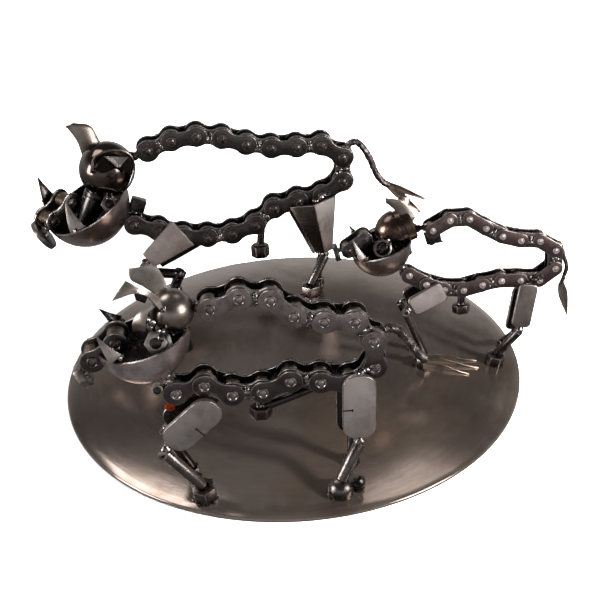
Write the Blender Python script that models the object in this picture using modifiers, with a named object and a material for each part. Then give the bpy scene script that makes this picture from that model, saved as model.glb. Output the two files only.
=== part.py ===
"""Three wild boars welded from roller chain and scrap steel, together on one domed steel disc.

Each body is one run of roller chain: it leaves the skull, follows the back, turns down at the rump and comes
forward along the belly to the jaw. Lengths are metres. A body's pose is in pitches of its own chain, measured
rearwards and upwards from the boar's reference point. A head's pose is in radii of its own skull, measured
rearwards, away from the viewer and upwards from the skull's centre.
"""

import math
from dataclasses import dataclass

import bmesh
import bpy
from mathutils import Matrix, Vector

GAP = 0.0003

DISC_RADIUS = 0.1375
DISC_SHEET = 0.0025
DISC_EDGE = 0.003
DOME_HEIGHT = 0.012
DOME_POWER = 3.0
DISC_STEPS = 36
BOWL_STEPS = 12
BOWL_RINGS = 4

BOWL_WALL = 0.0016
EAR_SHEET = 0.001
EAR_BEND = 0.6
TUSK_TIP = 0.0005
WELD_RADIUS = 0.0028
STEM_RADIUS = 0.0024
SKULL_TILT = math.radians(-20)
FAR_SHIN = 0.85
FAR_HOOF = 0.65
FLAT = math.radians(0.05)
SLIVER = 0.00004

HERE = Matrix.Identity(4)

SIDE_ON = Matrix.Rotation(math.radians(90), 4, "X")

STEELS = {
    "gunmetal": ((0.060, 0.054, 0.052, 1.0), 0.38),
    "plate": ((0.085, 0.070, 0.066, 1.0), 0.42),
    "satin": ((0.290, 0.262, 0.248, 1.0), 0.45),
    "bright": ((0.420, 0.390, 0.370, 1.0), 0.30),
    "disc": ((0.160, 0.140, 0.130, 1.0), 0.33),
}


@dataclass
class Chain:
    """Roller chain: its pitch, plates, and the rollers between them."""

    pitch: float
    outer_lobe: float
    inner_lobe: float
    waist: float
    plate: float
    inside: float
    roller: float

    @property
    def inner_face(self):
        return self.inside / 2 + self.plate

    @property
    def outer_face(self):
        return self.inner_face + self.plate


BIG_CHAIN = Chain(pitch=0.015875, outer_lobe=0.0066, inner_lobe=0.0072, waist=0.0046, plate=0.00175,
                  inside=0.0068, roller=0.0051)
SMALL_CHAIN = Chain(pitch=0.01145, outer_lobe=0.0044, inner_lobe=0.0048, waist=0.0048, plate=0.0013,
                    inside=0.0056, roller=0.0036)


@dataclass
class Boar:
    """One boar: where it stands, how its chain bends, and the scrap that makes its head, legs and tail."""

    name: str
    chain: Chain
    at: tuple
    yaw: float
    lean: float
    stand: float
    first_pin: tuple
    headings: list
    first_is_outer: bool
    skull: float
    skull_away: tuple
    skull_stretch: float
    neck_angle: float
    neck: float
    jaw: float
    jaw_at: tuple
    jaw_pitch: float
    jaw_roll: float
    jaw_depth: float
    snout_at: tuple
    snout_heading: float
    snout_turn: float
    nose_at: tuple
    nose_heading: float
    nose: tuple
    eye_at: tuple
    eye: tuple
    tusk_tips: tuple
    tusk_roots: tuple
    tusk: float
    ears: tuple
    ear_droop: tuple
    legs: dict
    shin: float
    hoof: tuple
    bolt: tuple
    tail: list
    tail_radius: float
    tail_blades: list


FRONT = Boar(
    name="front",
    chain=BIG_CHAIN,
    at=(0.0, -0.107),
    yaw=2.0,
    lean=1.0,
    stand=0.080,
    first_pin=(-2.54, 2.72),
    headings=[17, -8, -43, -17, -6, -53, -90, -145, 171, 172, -160, -179, 153, -163],
    first_is_outer=True,
    skull=0.0113,
    skull_away=(0.0194, 187.0),
    skull_stretch=1.0,
    neck_angle=-80.0,
    neck=0.005,
    jaw=0.0246,
    jaw_at=(-1.48, 0.0, -1.23),
    jaw_pitch=12.0,
    jaw_roll=3.0,
    jaw_depth=88.0,
    snout_at=(-3.79, 0.0, -2.05),
    snout_heading=36.0,
    snout_turn=0.0,
    nose_at=(-4.36, 0.0, -3.1),
    nose_heading=-151.0,
    nose=(0.0068, 0.0032, 0.005),
    eye_at=(-0.80, -1.24, -0.85),
    eye=(0.0061, 0.0031, 0.0045),
    tusk_tips=((-3.36, -1.42, -0.15), (-3.36, 1.06, -0.26)),
    tusk_roots=((-2.62, -1.62, -1.30), (-2.66, 1.20, -1.10)),
    tusk=0.0046,
    ears=((((-0.55, -0.65, 0.75), (-0.10, -0.85, 0.20)), ((-1.20, -1.10, 1.90), (-0.75, -1.45, 0.90)),
           ((-1.78, -1.24, 2.43), (-2.45, -1.30, 1.47))),
          (((-0.70, 0.50, 0.66), (-0.15, 0.50, 0.80)), ((-1.25, 0.60, 1.08), (-0.20, 0.60, 1.25)),
           ((-1.73, 0.65, 1.42), (-0.46, 0.65, 1.87)), ((-1.75, 0.70, 1.96), (-0.78, 0.70, 2.09)))),
    ear_droop=(),
    legs={"rear": dict(top=(2.15, -0.12), bottom=(2.09, -2.67), widths=(1.13, 1.13), corner=0.0078, fold=0.0,
                       plate=0.003, foot=(1.37, -0.90), foot_far=(1.85, 0.43), far=(-0.14, -0.50)),
          "fore": dict(top=(-2.61, -0.81), bottom=(-4.30, -2.36), widths=(1.13, 1.13), corner=0.0078, fold=0.0,
                       plate=0.003, foot=(-3.26, -0.52), foot_far=(-3.66, 0.61), far=(0.00, 0.05))},
    shin=0.0033,
    hoof=(0.0070, 0.0100),
    bolt=((0.80, -0.80), (-1.15, -1.52), 0.0024, 0.0064, 0.0065),
    tail=[(0.35, 0.42), (0.76, 0.34), (1.08, -0.36), (1.31, -0.77), (1.74, -1.17)],
    tail_radius=0.0024,
    tail_blades=[((1.62, -1.12), (3.53, -1.54), 0.0040), ((1.65, -1.20), (3.38, -2.08), 0.0045),
                 ((1.70, -1.25), (2.65, -2.02), 0.0035)],
)

BACK = Boar(
    name="back",
    chain=BIG_CHAIN,
    at=(-0.030, 0.089),
    yaw=5.0,
    lean=7.0,
    stand=0.080,
    first_pin=(-3.26, 2.24),
    headings=[20, 5, -11, -20, -14, -4, -1, -36, -93, -148, -172, -168, -143, -162, -178, 172, 160, 158],
    first_is_outer=False,
    skull=0.0176,
    skull_away=(0.0284, 202.0),
    skull_stretch=1.0,
    neck_angle=-118.0,
    neck=0.0075,
    jaw=0.0280,
    jaw_at=(-0.92, 0.0, -1.17),
    jaw_pitch=25.5,
    jaw_roll=-9.0,
    jaw_depth=86.0,
    snout_at=(-2.24, -0.24, -1.56),
    snout_heading=28.5,
    snout_turn=38.0,
    nose_at=(-2.50, -0.30, -2.12),
    nose_heading=-145.0,
    nose=(0.0108, 0.0034, 0.0035),
    eye_at=(-0.03, -0.70, -1.04),
    eye=(0.0056, 0.0028, 0.0045),
    tusk_tips=((-1.52, -0.91, -0.70), (-2.52, 0.80, -0.31)),
    tusk_roots=((-1.16, -1.15, -1.77), (-2.25, 0.80, -1.30)),
    tusk=0.0064,
    ears=((((-0.52, -0.78, 0.15), (-0.42, -1.04, 0.38)), ((-0.30, -0.72, 0.62), (-0.30, -1.08, 0.86)),
           ((0.30, -0.60, 0.74), (0.30, -1.06, 1.02)), ((0.70, -0.52, 0.48), (0.80, -1.02, 0.86)),
           ((0.88, -0.45, 0.05), (0.97, -0.92, 0.36)), ((0.72, -0.60, -0.36), (0.68, -0.88, -0.38))),
          (((-0.79, 0.30, 0.25), (-0.01, 0.60, 0.55)), ((-0.95, 0.50, 0.94), (-0.18, 0.65, 0.92)),
           ((-1.21, 0.60, 1.40), (-0.43, 0.70, 1.44)), ((-1.31, 0.62, 1.48), (-1.01, 0.70, 1.60)))),
    ear_droop=(0.38, -1.25, 0.68),
    legs={"rear": dict(top=(3.05, -0.45), bottom=(3.39, -2.66), widths=(1.90, 0.70), corner=0.0006, fold=0.007,
                       plate=0.0016, foot=(2.72, -1.31), foot_far=(3.12, -0.30), far=(-0.05, -0.45)),
          "fore": dict(top=(-2.22, -1.21), bottom=(-3.70, -2.26), widths=(1.38, 0.73), corner=0.0006, fold=0.0,
                       plate=0.0024, foot=(-3.20, -0.55), foot_far=(-2.72, 0.47), far=(0.30, -0.50),
                       bends_far=((-3.55, -3.27), (-2.52, -3.45)))},
    shin=0.0029,
    hoof=(0.0066, 0.0075),
    bolt=((0.97, -1.45), (0.83, -2.44), 0.0024, 0.0062, 0.008),
    tail=[(0.30, 0.42), (0.62, 0.46), (0.91, 0.12), (1.13, -0.32), (1.31, -0.85), (1.58, -1.31), (1.85, -1.50)],
    tail_radius=0.0021,
    tail_blades=[((1.78, -1.46), (3.31, -2.27), 0.0040), ((1.82, -1.50), (3.09, -2.82), 0.0050)],
)

SMALL = Boar(
    name="small",
    chain=SMALL_CHAIN,
    at=(0.130, -0.0005),
    yaw=5.0,
    lean=10.0,
    stand=0.080,
    first_pin=(-3.96, 1.65),
    headings=[26, -2, -35, -32, -19, -8, -36, -91, -147, 174, 175, -173, -170, 172, 157, 147],
    first_is_outer=True,
    skull=0.0105,
    skull_away=(0.0205, 173.0),
    skull_stretch=1.22,
    neck_angle=-77.0,
    neck=0.005,
    jaw=0.0176,
    jaw_at=(-0.92, 0.0, -0.99),
    jaw_pitch=13.0,
    jaw_roll=0.0,
    jaw_depth=86.0,
    snout_at=(-2.74, 0.0, -0.92),
    snout_heading=32.0,
    snout_turn=0.0,
    nose_at=(-3.38, 0.0, -1.08),
    nose_heading=-168.0,
    nose=(0.0054, 0.0026, 0.003),
    eye_at=(-0.98, -1.08, -0.75),
    eye=(0.0053, 0.0040, 0.0030),
    tusk_tips=((-2.59, -0.95, -0.08), (-2.49, 0.76, 0.12)),
    tusk_roots=((-2.10, -1.05, -1.30), (-2.20, 0.80, -0.55)),
    tusk=0.0030,
    ears=((((0.60, -0.55, 0.47), (0.98, -0.45, 0.62)), ((-0.06, -0.55, 1.14), (0.41, -0.50, 1.62)),
           ((-0.57, -0.50, 1.72), (-0.62, -0.50, 1.93))),
          (((0.05, 0.45, 0.70), (0.60, 0.45, 0.50)), ((0.15, 0.60, 1.25), (0.80, 0.60, 0.90)),
           ((0.40, 0.70, 1.55), (0.95, 0.75, 1.35)))),
    ear_droop=(),
    legs={"rear": dict(top=(0.91, -1.71), bottom=(0.39, -4.05), widths=(1.02, 1.02), corner=0.003, fold=0.0,
                       plate=0.0024, foot=(-0.76, -0.62), foot_far=(0.10, 1.10), far=(-0.05, -0.65)),
          "fore": dict(top=(-3.53, -1.54), bottom=(-5.26, -2.34), widths=(1.15, 1.05), corner=0.003, fold=0.0,
                       plate=0.0024, foot=(-4.58, -0.90), foot_far=(-4.58, 0.38), far=(-0.10, 0.00))},
    shin=0.0026,
    hoof=(0.0058, 0.0070),
    bolt=((-2.48, -1.75), (-2.55, -2.78), 0.0022, 0.0056, 0.0055),
    tail=[(0.40, 0.20), (0.60, -0.55), (0.75, -1.10), (0.58, -1.62), (0.35, -2.15)],
    tail_radius=0.0012,
    tail_blades=[((0.40, -2.05), (0.78, -3.96), 0.0045)],
)

BOARS = (FRONT, BACK, SMALL)


def collection(name):
    made = bpy.data.collections.new(name)
    bpy.context.scene.collection.children.link(made)
    return made


def finish(name, steel):
    """A Principled steel of its own for one piece."""
    color, roughness = STEELS[steel]
    made = bpy.data.materials.new(name + " steel")
    made.use_nodes = True
    shader = made.node_tree.nodes["Principled BSDF"]
    shader.inputs["Base Color"].default_value = color
    shader.inputs["Metallic"].default_value = 1.0
    shader.inputs["Roughness"].default_value = roughness
    return made


def outward(bm):
    """Turns a closed piece's faces outwards."""
    bmesh.ops.recalc_face_normals(bm, faces=bm.faces)
    if bm.calc_volume(signed=True) < 0:
        bmesh.ops.reverse_faces(bm, faces=bm.faces)


def mesh_from(bm, name):
    outward(bm)
    mesh = bpy.data.meshes.new(name)
    bm.to_mesh(mesh)
    bm.free()
    return mesh


def body(name, mesh, steel, parent=None):
    """Puts a mesh in the sculpture as one named piece."""
    made = bpy.data.objects.new(name, mesh)
    mesh.name = name
    mesh.materials.clear()
    mesh.materials.append(finish(name, steel))
    SCULPTURE.objects.link(made)
    made.parent = parent
    return made


def joined(pieces, name):
    """One mesh that holds several placed meshes, still as separate shells."""
    bm = bmesh.new()
    for mesh, matrix in pieces:
        part = bmesh.new()
        part.from_mesh(mesh)
        part.transform(matrix)
        outward(part)
        moved = bpy.data.meshes.new(name)
        part.to_mesh(moved)
        part.free()
        bm.from_mesh(moved)
        bpy.data.meshes.remove(moved)
    mesh = bpy.data.meshes.new(name)
    bm.to_mesh(mesh)
    bm.free()
    return mesh


def combined(first, second, operation, name):
    """One closed mesh from two sets of placed meshes, which may overlap or meet face to face."""
    holders = []
    for some in (first, second):
        holder = bpy.data.objects.new(name, joined(some, name))
        bpy.context.scene.collection.objects.link(holder)
        holders.append(holder)
    change = holders[0].modifiers.new(operation, "BOOLEAN")
    change.operation = operation
    change.solver = "EXACT"
    change.object = holders[1]
    change.use_self = True
    graph = bpy.context.evaluated_depsgraph_get()
    mesh = bpy.data.meshes.new_from_object(holders[0].evaluated_get(graph))
    for holder in holders:
        bpy.data.objects.remove(holder)
    bm = bmesh.new()
    bm.from_mesh(mesh)
    bpy.data.meshes.remove(mesh)
    bmesh.ops.remove_doubles(bm, verts=bm.verts, dist=SLIVER)
    bmesh.ops.dissolve_degenerate(bm, edges=bm.edges, dist=SLIVER)
    bmesh.ops.dissolve_limit(bm, angle_limit=FLAT, verts=bm.verts, edges=bm.edges)
    return mesh_from(bm, name)


def united(pieces, name):
    return combined(pieces[:-1], pieces[-1:], "UNION", name)


def cut_by(mesh, cutter, operation="DIFFERENCE"):
    """A mesh cut by another, both already in place."""
    return combined([(mesh, HERE)], [(cutter, HERE)], operation, mesh.name)


def plate(outline, thickness, name="plate"):
    """A flat sheet: its outline in X and Y, its thickness centred on Z."""
    curve = bpy.data.curves.new(name, "CURVE")
    curve.dimensions = "2D"
    curve.fill_mode = "BOTH"
    curve.extrude = thickness / 2
    spline = curve.splines.new("POLY")
    spline.points.add(len(outline) - 1)
    for point, (x, y) in zip(spline.points, outline):
        point.co = (x, y, 0.0, 1.0)
    spline.use_cyclic_u = True
    return curve_mesh(curve, name)


def curve_mesh(curve, name):
    """The closed mesh of a curve, with its caps welded on."""
    holder = bpy.data.objects.new(name, curve)
    bpy.context.scene.collection.objects.link(holder)
    graph = bpy.context.evaluated_depsgraph_get()
    mesh = bpy.data.meshes.new_from_object(holder.evaluated_get(graph))
    bpy.data.objects.remove(holder)
    bpy.data.curves.remove(curve)
    bm = bmesh.new()
    bm.from_mesh(mesh)
    bmesh.ops.remove_doubles(bm, verts=bm.verts, dist=0.00001)
    bpy.data.meshes.remove(mesh)
    return mesh_from(bm, name)


def rod(radius, length, sides, tip_radius=None):
    """A bar along Z, from its foot at the origin."""
    bm = bmesh.new()
    bmesh.ops.create_cone(bm, cap_ends=True, segments=sides, radius1=radius,
                          radius2=radius if tip_radius is None else tip_radius, depth=length,
                          matrix=Matrix.Translation((0, 0, length / 2)))
    return mesh_from(bm, "rod")


def ball(radius, around=12, along=6):
    bm = bmesh.new()
    bmesh.ops.create_uvsphere(bm, u_segments=around, v_segments=along, radius=radius)
    return mesh_from(bm, "ball")


def spin_round(bm, steps):
    """Turns a profile in X and Z once around the Z axis."""
    bmesh.ops.spin(bm, geom=bm.verts[:] + bm.edges[:], axis=(0, 0, 1), cent=(0, 0, 0), steps=steps,
                   angle=math.tau, use_merge=True)
    bmesh.ops.remove_doubles(bm, verts=bm.verts, dist=0.00001)


def nut(radius, hole, height, sides=6):
    """A ring of flat sides around a hole, its lower face on the origin, its axis along Z."""
    bm = bmesh.new()
    ring = [bm.verts.new((r, 0.0, z)) for r, z in ((radius, 0.0), (radius, height), (hole, height), (hole, 0.0))]
    for one, two in zip(ring, ring[1:] + ring[:1]):
        bm.edges.new((one, two))
    spin_round(bm, sides)
    return mesh_from(bm, "nut")


def towards(start, end):
    """Places a Z-long piece at start, pointing at end."""
    start, end = Vector(start), Vector(end)
    return Matrix.Translation(start) @ (end - start).to_track_quat("Z", "Y").to_matrix().to_4x4()


def arc(cx, cy, radius, first, last, count):
    """Points on an arc, its angles in degrees."""
    steps = [first + (last - first) * k / (count - 1) for k in range(count)]
    return [(cx + radius * math.cos(math.radians(a)), cy + radius * math.sin(math.radians(a))) for a in steps]


def link_outline(pitch, lobe, waist, plain):
    """A chain plate: a lobe around each of two pins, drawn in between them if its waist is narrower."""
    if waist >= lobe:
        return arc(pitch, 0, lobe, -75, 75, 3) + arc(0, 0, lobe, 105, 255, 3)
    if plain:
        return arc(pitch, 0, lobe, -90, 90, 4) + arc(0, 0, lobe, 90, 270, 4)
    ends = arc(pitch, 0, lobe, -100, 100, 4) + [(pitch / 2, waist)]
    return ends + arc(0, 0, lobe, 80, 280, 4) + [(pitch / 2, -waist)]


def heading_vector(degrees):
    return Vector((math.cos(math.radians(degrees)), 0.0, math.sin(math.radians(degrees))))


def pins(boar):
    """The chain's pins in the boar's own frame: each link is one pitch long, along its heading."""
    at = Vector((boar.first_pin[0], 0.0, boar.first_pin[1])) * boar.chain.pitch
    run = [at.copy()]
    for heading in boar.headings:
        at = at + heading_vector(heading) * boar.chain.pitch
        run.append(at)
    return run


def skull_centre(boar):
    distance, angle = boar.skull_away
    return pins(boar)[0] + heading_vector(angle) * distance


def head_point(boar, share):
    return skull_centre(boar) + Vector(share) * boar.skull


def body_point(boar, share, across=0.0):
    return Vector((share[0] * boar.chain.pitch, across, share[1] * boar.chain.pitch))


def jaw_centre(boar):
    return head_point(boar, boar.jaw_at)


def slab(outline, low, high):
    """A plate of the chain: its outline in X and Z, its faces at two distances across."""
    bm = bmesh.new()
    ring = [bm.verts.new((x, low, z)) for x, z in outline]
    face = bm.faces.new(ring)
    raised = bmesh.ops.extrude_face_region(bm, geom=[face], use_keep_orig=True)
    for item in raised["geom"]:
        if isinstance(item, bmesh.types.BMVert):
            item.co.y = high
    return mesh_from(bm, "slab")


def turned(outline, at, degrees):
    """An outline turned to a heading and moved to a pin."""
    c, s = math.cos(math.radians(degrees)), math.sin(math.radians(degrees))
    return [(at.x + x * c - z * s, at.z + x * s + z * c) for x, z in outline]


def chain_links(chain, run, headings, first_is_outer):
    """Plates on both sides of every link and a roller on every pin: they meet face to face, ready to be united."""
    pieces = []
    half = chain.inside / 2
    for number, heading in enumerate(headings):
        is_outer = (number % 2 == 0) == first_is_outer
        low, high = (chain.inner_face, chain.outer_face) if is_outer else (half, chain.inner_face)
        lobe = chain.outer_lobe if is_outer else chain.inner_lobe
        for near, ends in ((True, (-high, -low)), (False, (low, high))):
            shape = link_outline(chain.pitch, lobe, chain.waist, plain=not near)
            pieces.append((slab(turned(shape, run[number], heading), *ends), HERE))
    for number, pin in enumerate(run):
        before = number > 0 and (((number - 1) % 2 == 0) != first_is_outer)
        after = number < len(headings) and ((number % 2 == 0) != first_is_outer)
        reach = half if before or after else chain.inner_face
        shape = turned(arc(0, 0, chain.roller, 0, 288, 5), pin, headings[min(number, len(headings) - 1)])
        pieces.append((slab(shape, -reach, reach), HERE))
    return pieces


def make_disc():
    """A pressed steel disc, domed like a shield, that stands on its rim."""
    profile = bmesh.new()
    rings = 3
    radii = [DISC_RADIUS * (k / rings) ** 0.7 for k in range(rings + 1)]
    top = [(r, dome(r)) for r in radii]
    under = DISC_RADIUS - DISC_EDGE
    below = [(under * (k / 2) ** 0.6, dome(under * (k / 2) ** 0.6) - DISC_SHEET) for k in (1, 0)]
    points = top + [(DISC_RADIUS, 0.0), (under, 0.0)] + below
    last = None
    for r, z in points:
        vert = profile.verts.new((r, 0.0, z))
        if last:
            profile.edges.new((last, vert))
        last = vert
    mesh = bpy.data.meshes.new("disc")
    profile.to_mesh(mesh)
    profile.free()
    made = body("disc", mesh, "disc")
    turn = made.modifiers.new("turn", "SCREW")
    turn.steps = turn.render_steps = DISC_STEPS
    turn.use_merge_vertices = True
    turn.merge_threshold = 0.00001
    mesh.shade_smooth()
    return made


def dome(r):
    """Height of the disc's upper face at a distance from its centre."""
    share = min(abs(r) / DISC_RADIUS, 1.0)
    return DISC_SHEET + DOME_HEIGHT * (1 - share ** DOME_POWER)


def dome_clearance():
    """The disc with its clearance, filled in below: what stands on the disc is cut by it."""
    bm = bmesh.new()
    rings = 3
    reach = DISC_RADIUS * 1.15
    points = [(reach, -0.02), (reach, DISC_SHEET + GAP)]
    points += [(DISC_RADIUS * (k / rings) ** 0.7, dome(DISC_RADIUS * (k / rings) ** 0.7) + GAP)
               for k in range(rings, -1, -1)]
    points.append((0.0, -0.02))
    last = None
    for r, z in points:
        vert = bm.verts.new((r, 0.0, z))
        if last:
            bm.edges.new((last, vert))
        last = vert
    spin_round(bm, DISC_STEPS)
    bmesh.ops.holes_fill(bm, edges=[e for e in bm.edges if e.is_boundary], sides=0)
    return mesh_from(bm, "disc clearance")


def bowl(radius, inner, depth, lift=0.0):
    """A dish: part of a hollow ball around the origin, its mouth up, depth degrees from its foot to its rim."""
    bm = bmesh.new()
    angles = [math.radians(depth + lift) * k / BOWL_RINGS for k in range(BOWL_RINGS + 1)]
    points = [(radius * math.sin(a), -radius * math.cos(a)) for a in angles]
    points += [(inner * math.sin(a), -inner * math.cos(a)) for a in reversed(angles)]
    last = None
    for r, z in points:
        vert = bm.verts.new((r, 0.0, z))
        if last:
            bm.edges.new((last, vert))
        last = vert
    spin_round(bm, BOWL_STEPS)
    return mesh_from(bm, "bowl")


def bowl_filling(radius, depth):
    """What fills the bowl and the space above its mouth, with the bowl's own flats."""
    bm = bmesh.new()
    angles = [math.radians(depth) * k / BOWL_RINGS for k in range(BOWL_RINGS + 1)]
    points = [(radius * math.sin(a), -radius * math.cos(a)) for a in angles]
    points += [(radius, 2 * radius), (0.0, 2 * radius)]
    verts = [bm.verts.new((r, 0.0, z)) for r, z in points]
    for one, two in zip(verts, verts[1:]):
        bm.edges.new((one, two))
    spin_round(bm, BOWL_STEPS)
    return mesh_from(bm, "bowl filling")


def jaw_placing(boar):
    """The bowl's mouth dips to the front by its pitch and away from the viewer by its roll."""
    turn = Matrix.Rotation(math.radians(-boar.jaw_pitch), 4, "Y") @ Matrix.Rotation(math.radians(-boar.jaw_roll), 4, "X")
    return Matrix.Translation(jaw_centre(boar)) @ turn


def snout_placing(boar):
    """The snout's link lies along X from its front pin, turned about the upright so that its end meets the viewer."""
    turn = Matrix.Rotation(math.radians(boar.snout_turn), 4, "Z")
    tip = Matrix.Rotation(math.radians(-boar.snout_heading), 4, "Y")
    return Matrix.Translation(head_point(boar, boar.snout_at)) @ turn @ tip


def snout_clearance(boar):
    """The room that the snout's link takes up, so that the jaw's rim is notched for it."""
    chain = boar.chain
    outline = arc(chain.pitch, 0, chain.outer_lobe + GAP, -90, 0, 4) + [(chain.pitch + chain.outer_lobe, 0.03)]
    outline += [(-chain.outer_lobe - GAP, 0.03)] + arc(0, 0, chain.outer_lobe + GAP, 180, 270, 4)
    mesh = plate(outline, 2 * (chain.outer_face + GAP))
    return joined([(mesh, snout_placing(boar) @ SIDE_ON)], "snout clearance")


def make_chain(boar, frame):
    """The body: the whole run of chain, with the weld that holds the jaw and the bolt under the belly."""
    run = pins(boar)
    pieces = chain_links(boar.chain, run, boar.headings, boar.first_is_outer)
    reach = jaw_centre(boar) - run[-1]
    length = reach.length - boar.jaw - GAP
    pieces.append((rod(WELD_RADIUS, length, 6), towards(run[-1], jaw_centre(boar))))
    top, head, shank, radius, height = boar.bolt
    start, end = body_point(boar, top), body_point(boar, head)
    pieces.append((rod(shank, (end - start).length, 6), towards(start, end)))
    pieces.append((rod(radius, height, 6), Matrix.Translation(end - Vector((0, 0, height * 0.7)))))
    body(boar.name + "_chain_body", united(pieces, "chain"), "plate", frame)


def make_skull(boar, frame, jaw_room):
    """A steel ball or a domed cap, with the neck that stands in the jaw and the weld to the first roller."""
    centre = skull_centre(boar)
    first = pins(boar)[0]
    end = centre + heading_vector(boar.neck_angle) * boar.jaw * 2
    neck = joined([(rod(boar.neck, boar.jaw * 2, 6), towards(centre, end))], "neck")
    room = joined([(bowl_filling(boar.jaw - BOWL_WALL - GAP, boar.jaw_depth), jaw_placing(boar))], "room")
    weld = (centre - first).length - boar.chain.roller - GAP
    pieces = [(skull_shape(boar, boar.skull), HERE), (rod(WELD_RADIUS, weld, 6), towards(centre, first)),
              (cut_by(neck, room, "INTERSECT"), HERE)]
    body(boar.name + "_skull", cut_by(united(pieces, "skull"), jaw_room), "gunmetal", frame)


def skull_shape(boar, radius):
    """A ball, or a ball drawn out along the head where the skull is a domed cap."""
    stretch = Matrix.Rotation(SKULL_TILT, 4, "Y") @ Matrix.Diagonal((boar.skull_stretch, 1, 1, 1))
    return joined([(ball(radius), Matrix.Translation(skull_centre(boar)) @ stretch)], "skull")


def make_jaw(boar, frame, notch):
    """A half ball pressed from sheet, its rim notched for the snout."""
    whole = joined([(bowl(boar.jaw, boar.jaw - BOWL_WALL, boar.jaw_depth), jaw_placing(boar))], "jaw")
    body(boar.name + "_jaw", cut_by(whole, notch), "gunmetal", frame)


def jaw_clearance(boar):
    mesh = bowl(boar.jaw + GAP, boar.jaw - BOWL_WALL - GAP, boar.jaw_depth, math.degrees(GAP / boar.jaw))
    return joined([(mesh, jaw_placing(boar))], "jaw clearance")


def make_snout(boar, frame):
    """One more link of chain for the snout, with a nut on its end for the nose."""
    run = [Vector(), Vector((boar.chain.pitch, 0.0, 0.0))]
    place = snout_placing(boar)
    pieces = [(mesh, place) for mesh, _ in chain_links(boar.chain, run, [0.0], True)]
    radius, hole, height = boar.nose
    nose = head_point(boar, boar.nose_at)
    facing = heading_vector(boar.nose_heading)
    pieces.append((nut(radius, hole, height), towards(nose - facing * height / 2, nose + facing)))
    front = place.translation
    pieces.append((rod(WELD_RADIUS, (nose - front).length - hole * 0.4, 6), towards(front, nose)))
    body(boar.name + "_snout", united(pieces, "snout"), "plate", frame)


def make_eye(boar, frame, side, label, skull_room, jaw_room):
    """A nut on a short bead of weld, one on each cheek."""
    radius, hole, height = boar.eye
    share = Vector((boar.eye_at[0], boar.eye_at[1] * side, boar.eye_at[2]))
    at = head_point(boar, share)
    facing = Vector((0.0, -side, 0.0))
    pieces = [(nut(radius, hole, height, 6), towards(at - facing * height / 2, at + facing))]
    inwards = (skull_centre(boar) - at).normalized()
    start = at + Vector((inwards.x, 0, inwards.z)).normalized() * (radius + hole) / 2
    stem = rod(STEM_RADIUS, (skull_centre(boar) - start).length, 4)
    pieces.append((stem, towards(start, skull_centre(boar))))
    eye = cut_by(cut_by(united(pieces, "eye"), skull_room), jaw_room)
    body(f"{boar.name}_eye_{label}", eye, "satin", frame)


def make_tusk(boar, frame, number, label, room):
    """A three-sided spike that stands on the jaw's rim."""
    root, tip = head_point(boar, boar.tusk_roots[number]), head_point(boar, boar.tusk_tips[number])
    spike = joined([(rod(boar.tusk, (tip - root).length, 3, TUSK_TIP), towards(root, tip))], "tusk")
    body(f"{boar.name}_tusk_{label}", cut_by(spike, room), "satin", frame)


def make_ear(boar, frame, number, label, room):
    """A strip of sheet steel bent along its length; a folded one has a tip that droops from its outer edge."""
    rows = [[head_point(boar, share) for share in pair] for pair in boar.ears[number]]
    bm = bmesh.new()
    verts = [[bm.verts.new(p) for p in pair] for pair in rows]
    for one, two in zip(verts, verts[1:]):
        bm.faces.new((one[0], one[1], two[1], two[0]))
    if label == "near" and boar.ear_droop:
        bm.faces.new((verts[1][1], verts[2][1], bm.verts.new(head_point(boar, boar.ear_droop))))
    bmesh.ops.recalc_face_normals(bm, faces=bm.faces)
    bmesh.ops.subdivide_edges(bm, edges=bm.edges, cuts=1, use_grid_fill=True, smooth=EAR_BEND)
    bmesh.ops.solidify(bm, geom=bm.faces[:], thickness=EAR_SHEET)
    body(f"{boar.name}_ear_{label}", cut_by(mesh_from(bm, "ear"), room), "satin", frame)


def make_thigh(boar, frame, leg, name, side):
    """A flat or folded plate, held to the outer face of the belly chain."""
    chain = boar.chain
    shift = leg["far"] if side > 0 else (0.0, 0.0)
    top = body_point(boar, (leg["top"][0] + shift[0], leg["top"][1] + shift[1]))
    bottom = body_point(boar, (leg["bottom"][0] + shift[0], leg["bottom"][1] + shift[1]))
    half_top, half_bottom = (w * chain.pitch / 2 for w in leg["widths"])
    length = (top - bottom).length
    across = side * (chain.outer_face + GAP + leg["plate"] / 2)
    down = math.degrees(math.atan2(bottom.z - top.z, bottom.x - top.x))
    outline = rounded([(0, half_top), (0, -half_top), (length, -half_bottom), (length, half_bottom)],
                      leg["corner"], 3 if side < 0 else 2)
    place = Matrix.Translation(top + Vector((0, across, 0))) @ SIDE_ON @ Matrix.Rotation(math.radians(down), 4, "Z")
    if leg["fold"]:
        mesh = folded(half_top, half_bottom, length, leg["fold"], leg["plate"], side)
    else:
        mesh = plate(outline, leg["plate"])
    body(name, joined([(mesh, place)], name), "satin", frame)
    return bottom + Vector((0, across, 0)), (bottom - top).normalized()


def folded(half_top, half_bottom, length, fold, thickness, side):
    """A wedge of sheet creased down its middle, the crease standing out from the body."""
    bm = bmesh.new()
    rows = ((0.0, half_top, 0.0), (0.0, 0.0, fold), (0.0, -half_top, 0.0),
            (length, half_bottom, 0.0), (length, 0.0, fold * 0.35), (length, -half_bottom, 0.0))
    verts = [bm.verts.new((x, y, -side * z)) for x, y, z in rows]
    bm.faces.new((verts[0], verts[1], verts[4], verts[3]))
    bm.faces.new((verts[1], verts[2], verts[5], verts[4]))
    bmesh.ops.recalc_face_normals(bm, faces=bm.faces)
    bmesh.ops.solidify(bm, geom=bm.faces[:], thickness=thickness)
    lowest = min(v.co.z * -side for v in bm.verts)
    bmesh.ops.translate(bm, verts=bm.verts, vec=(0, 0, side * (lowest + thickness / 2)))
    return mesh_from(bm, "folded")


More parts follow.
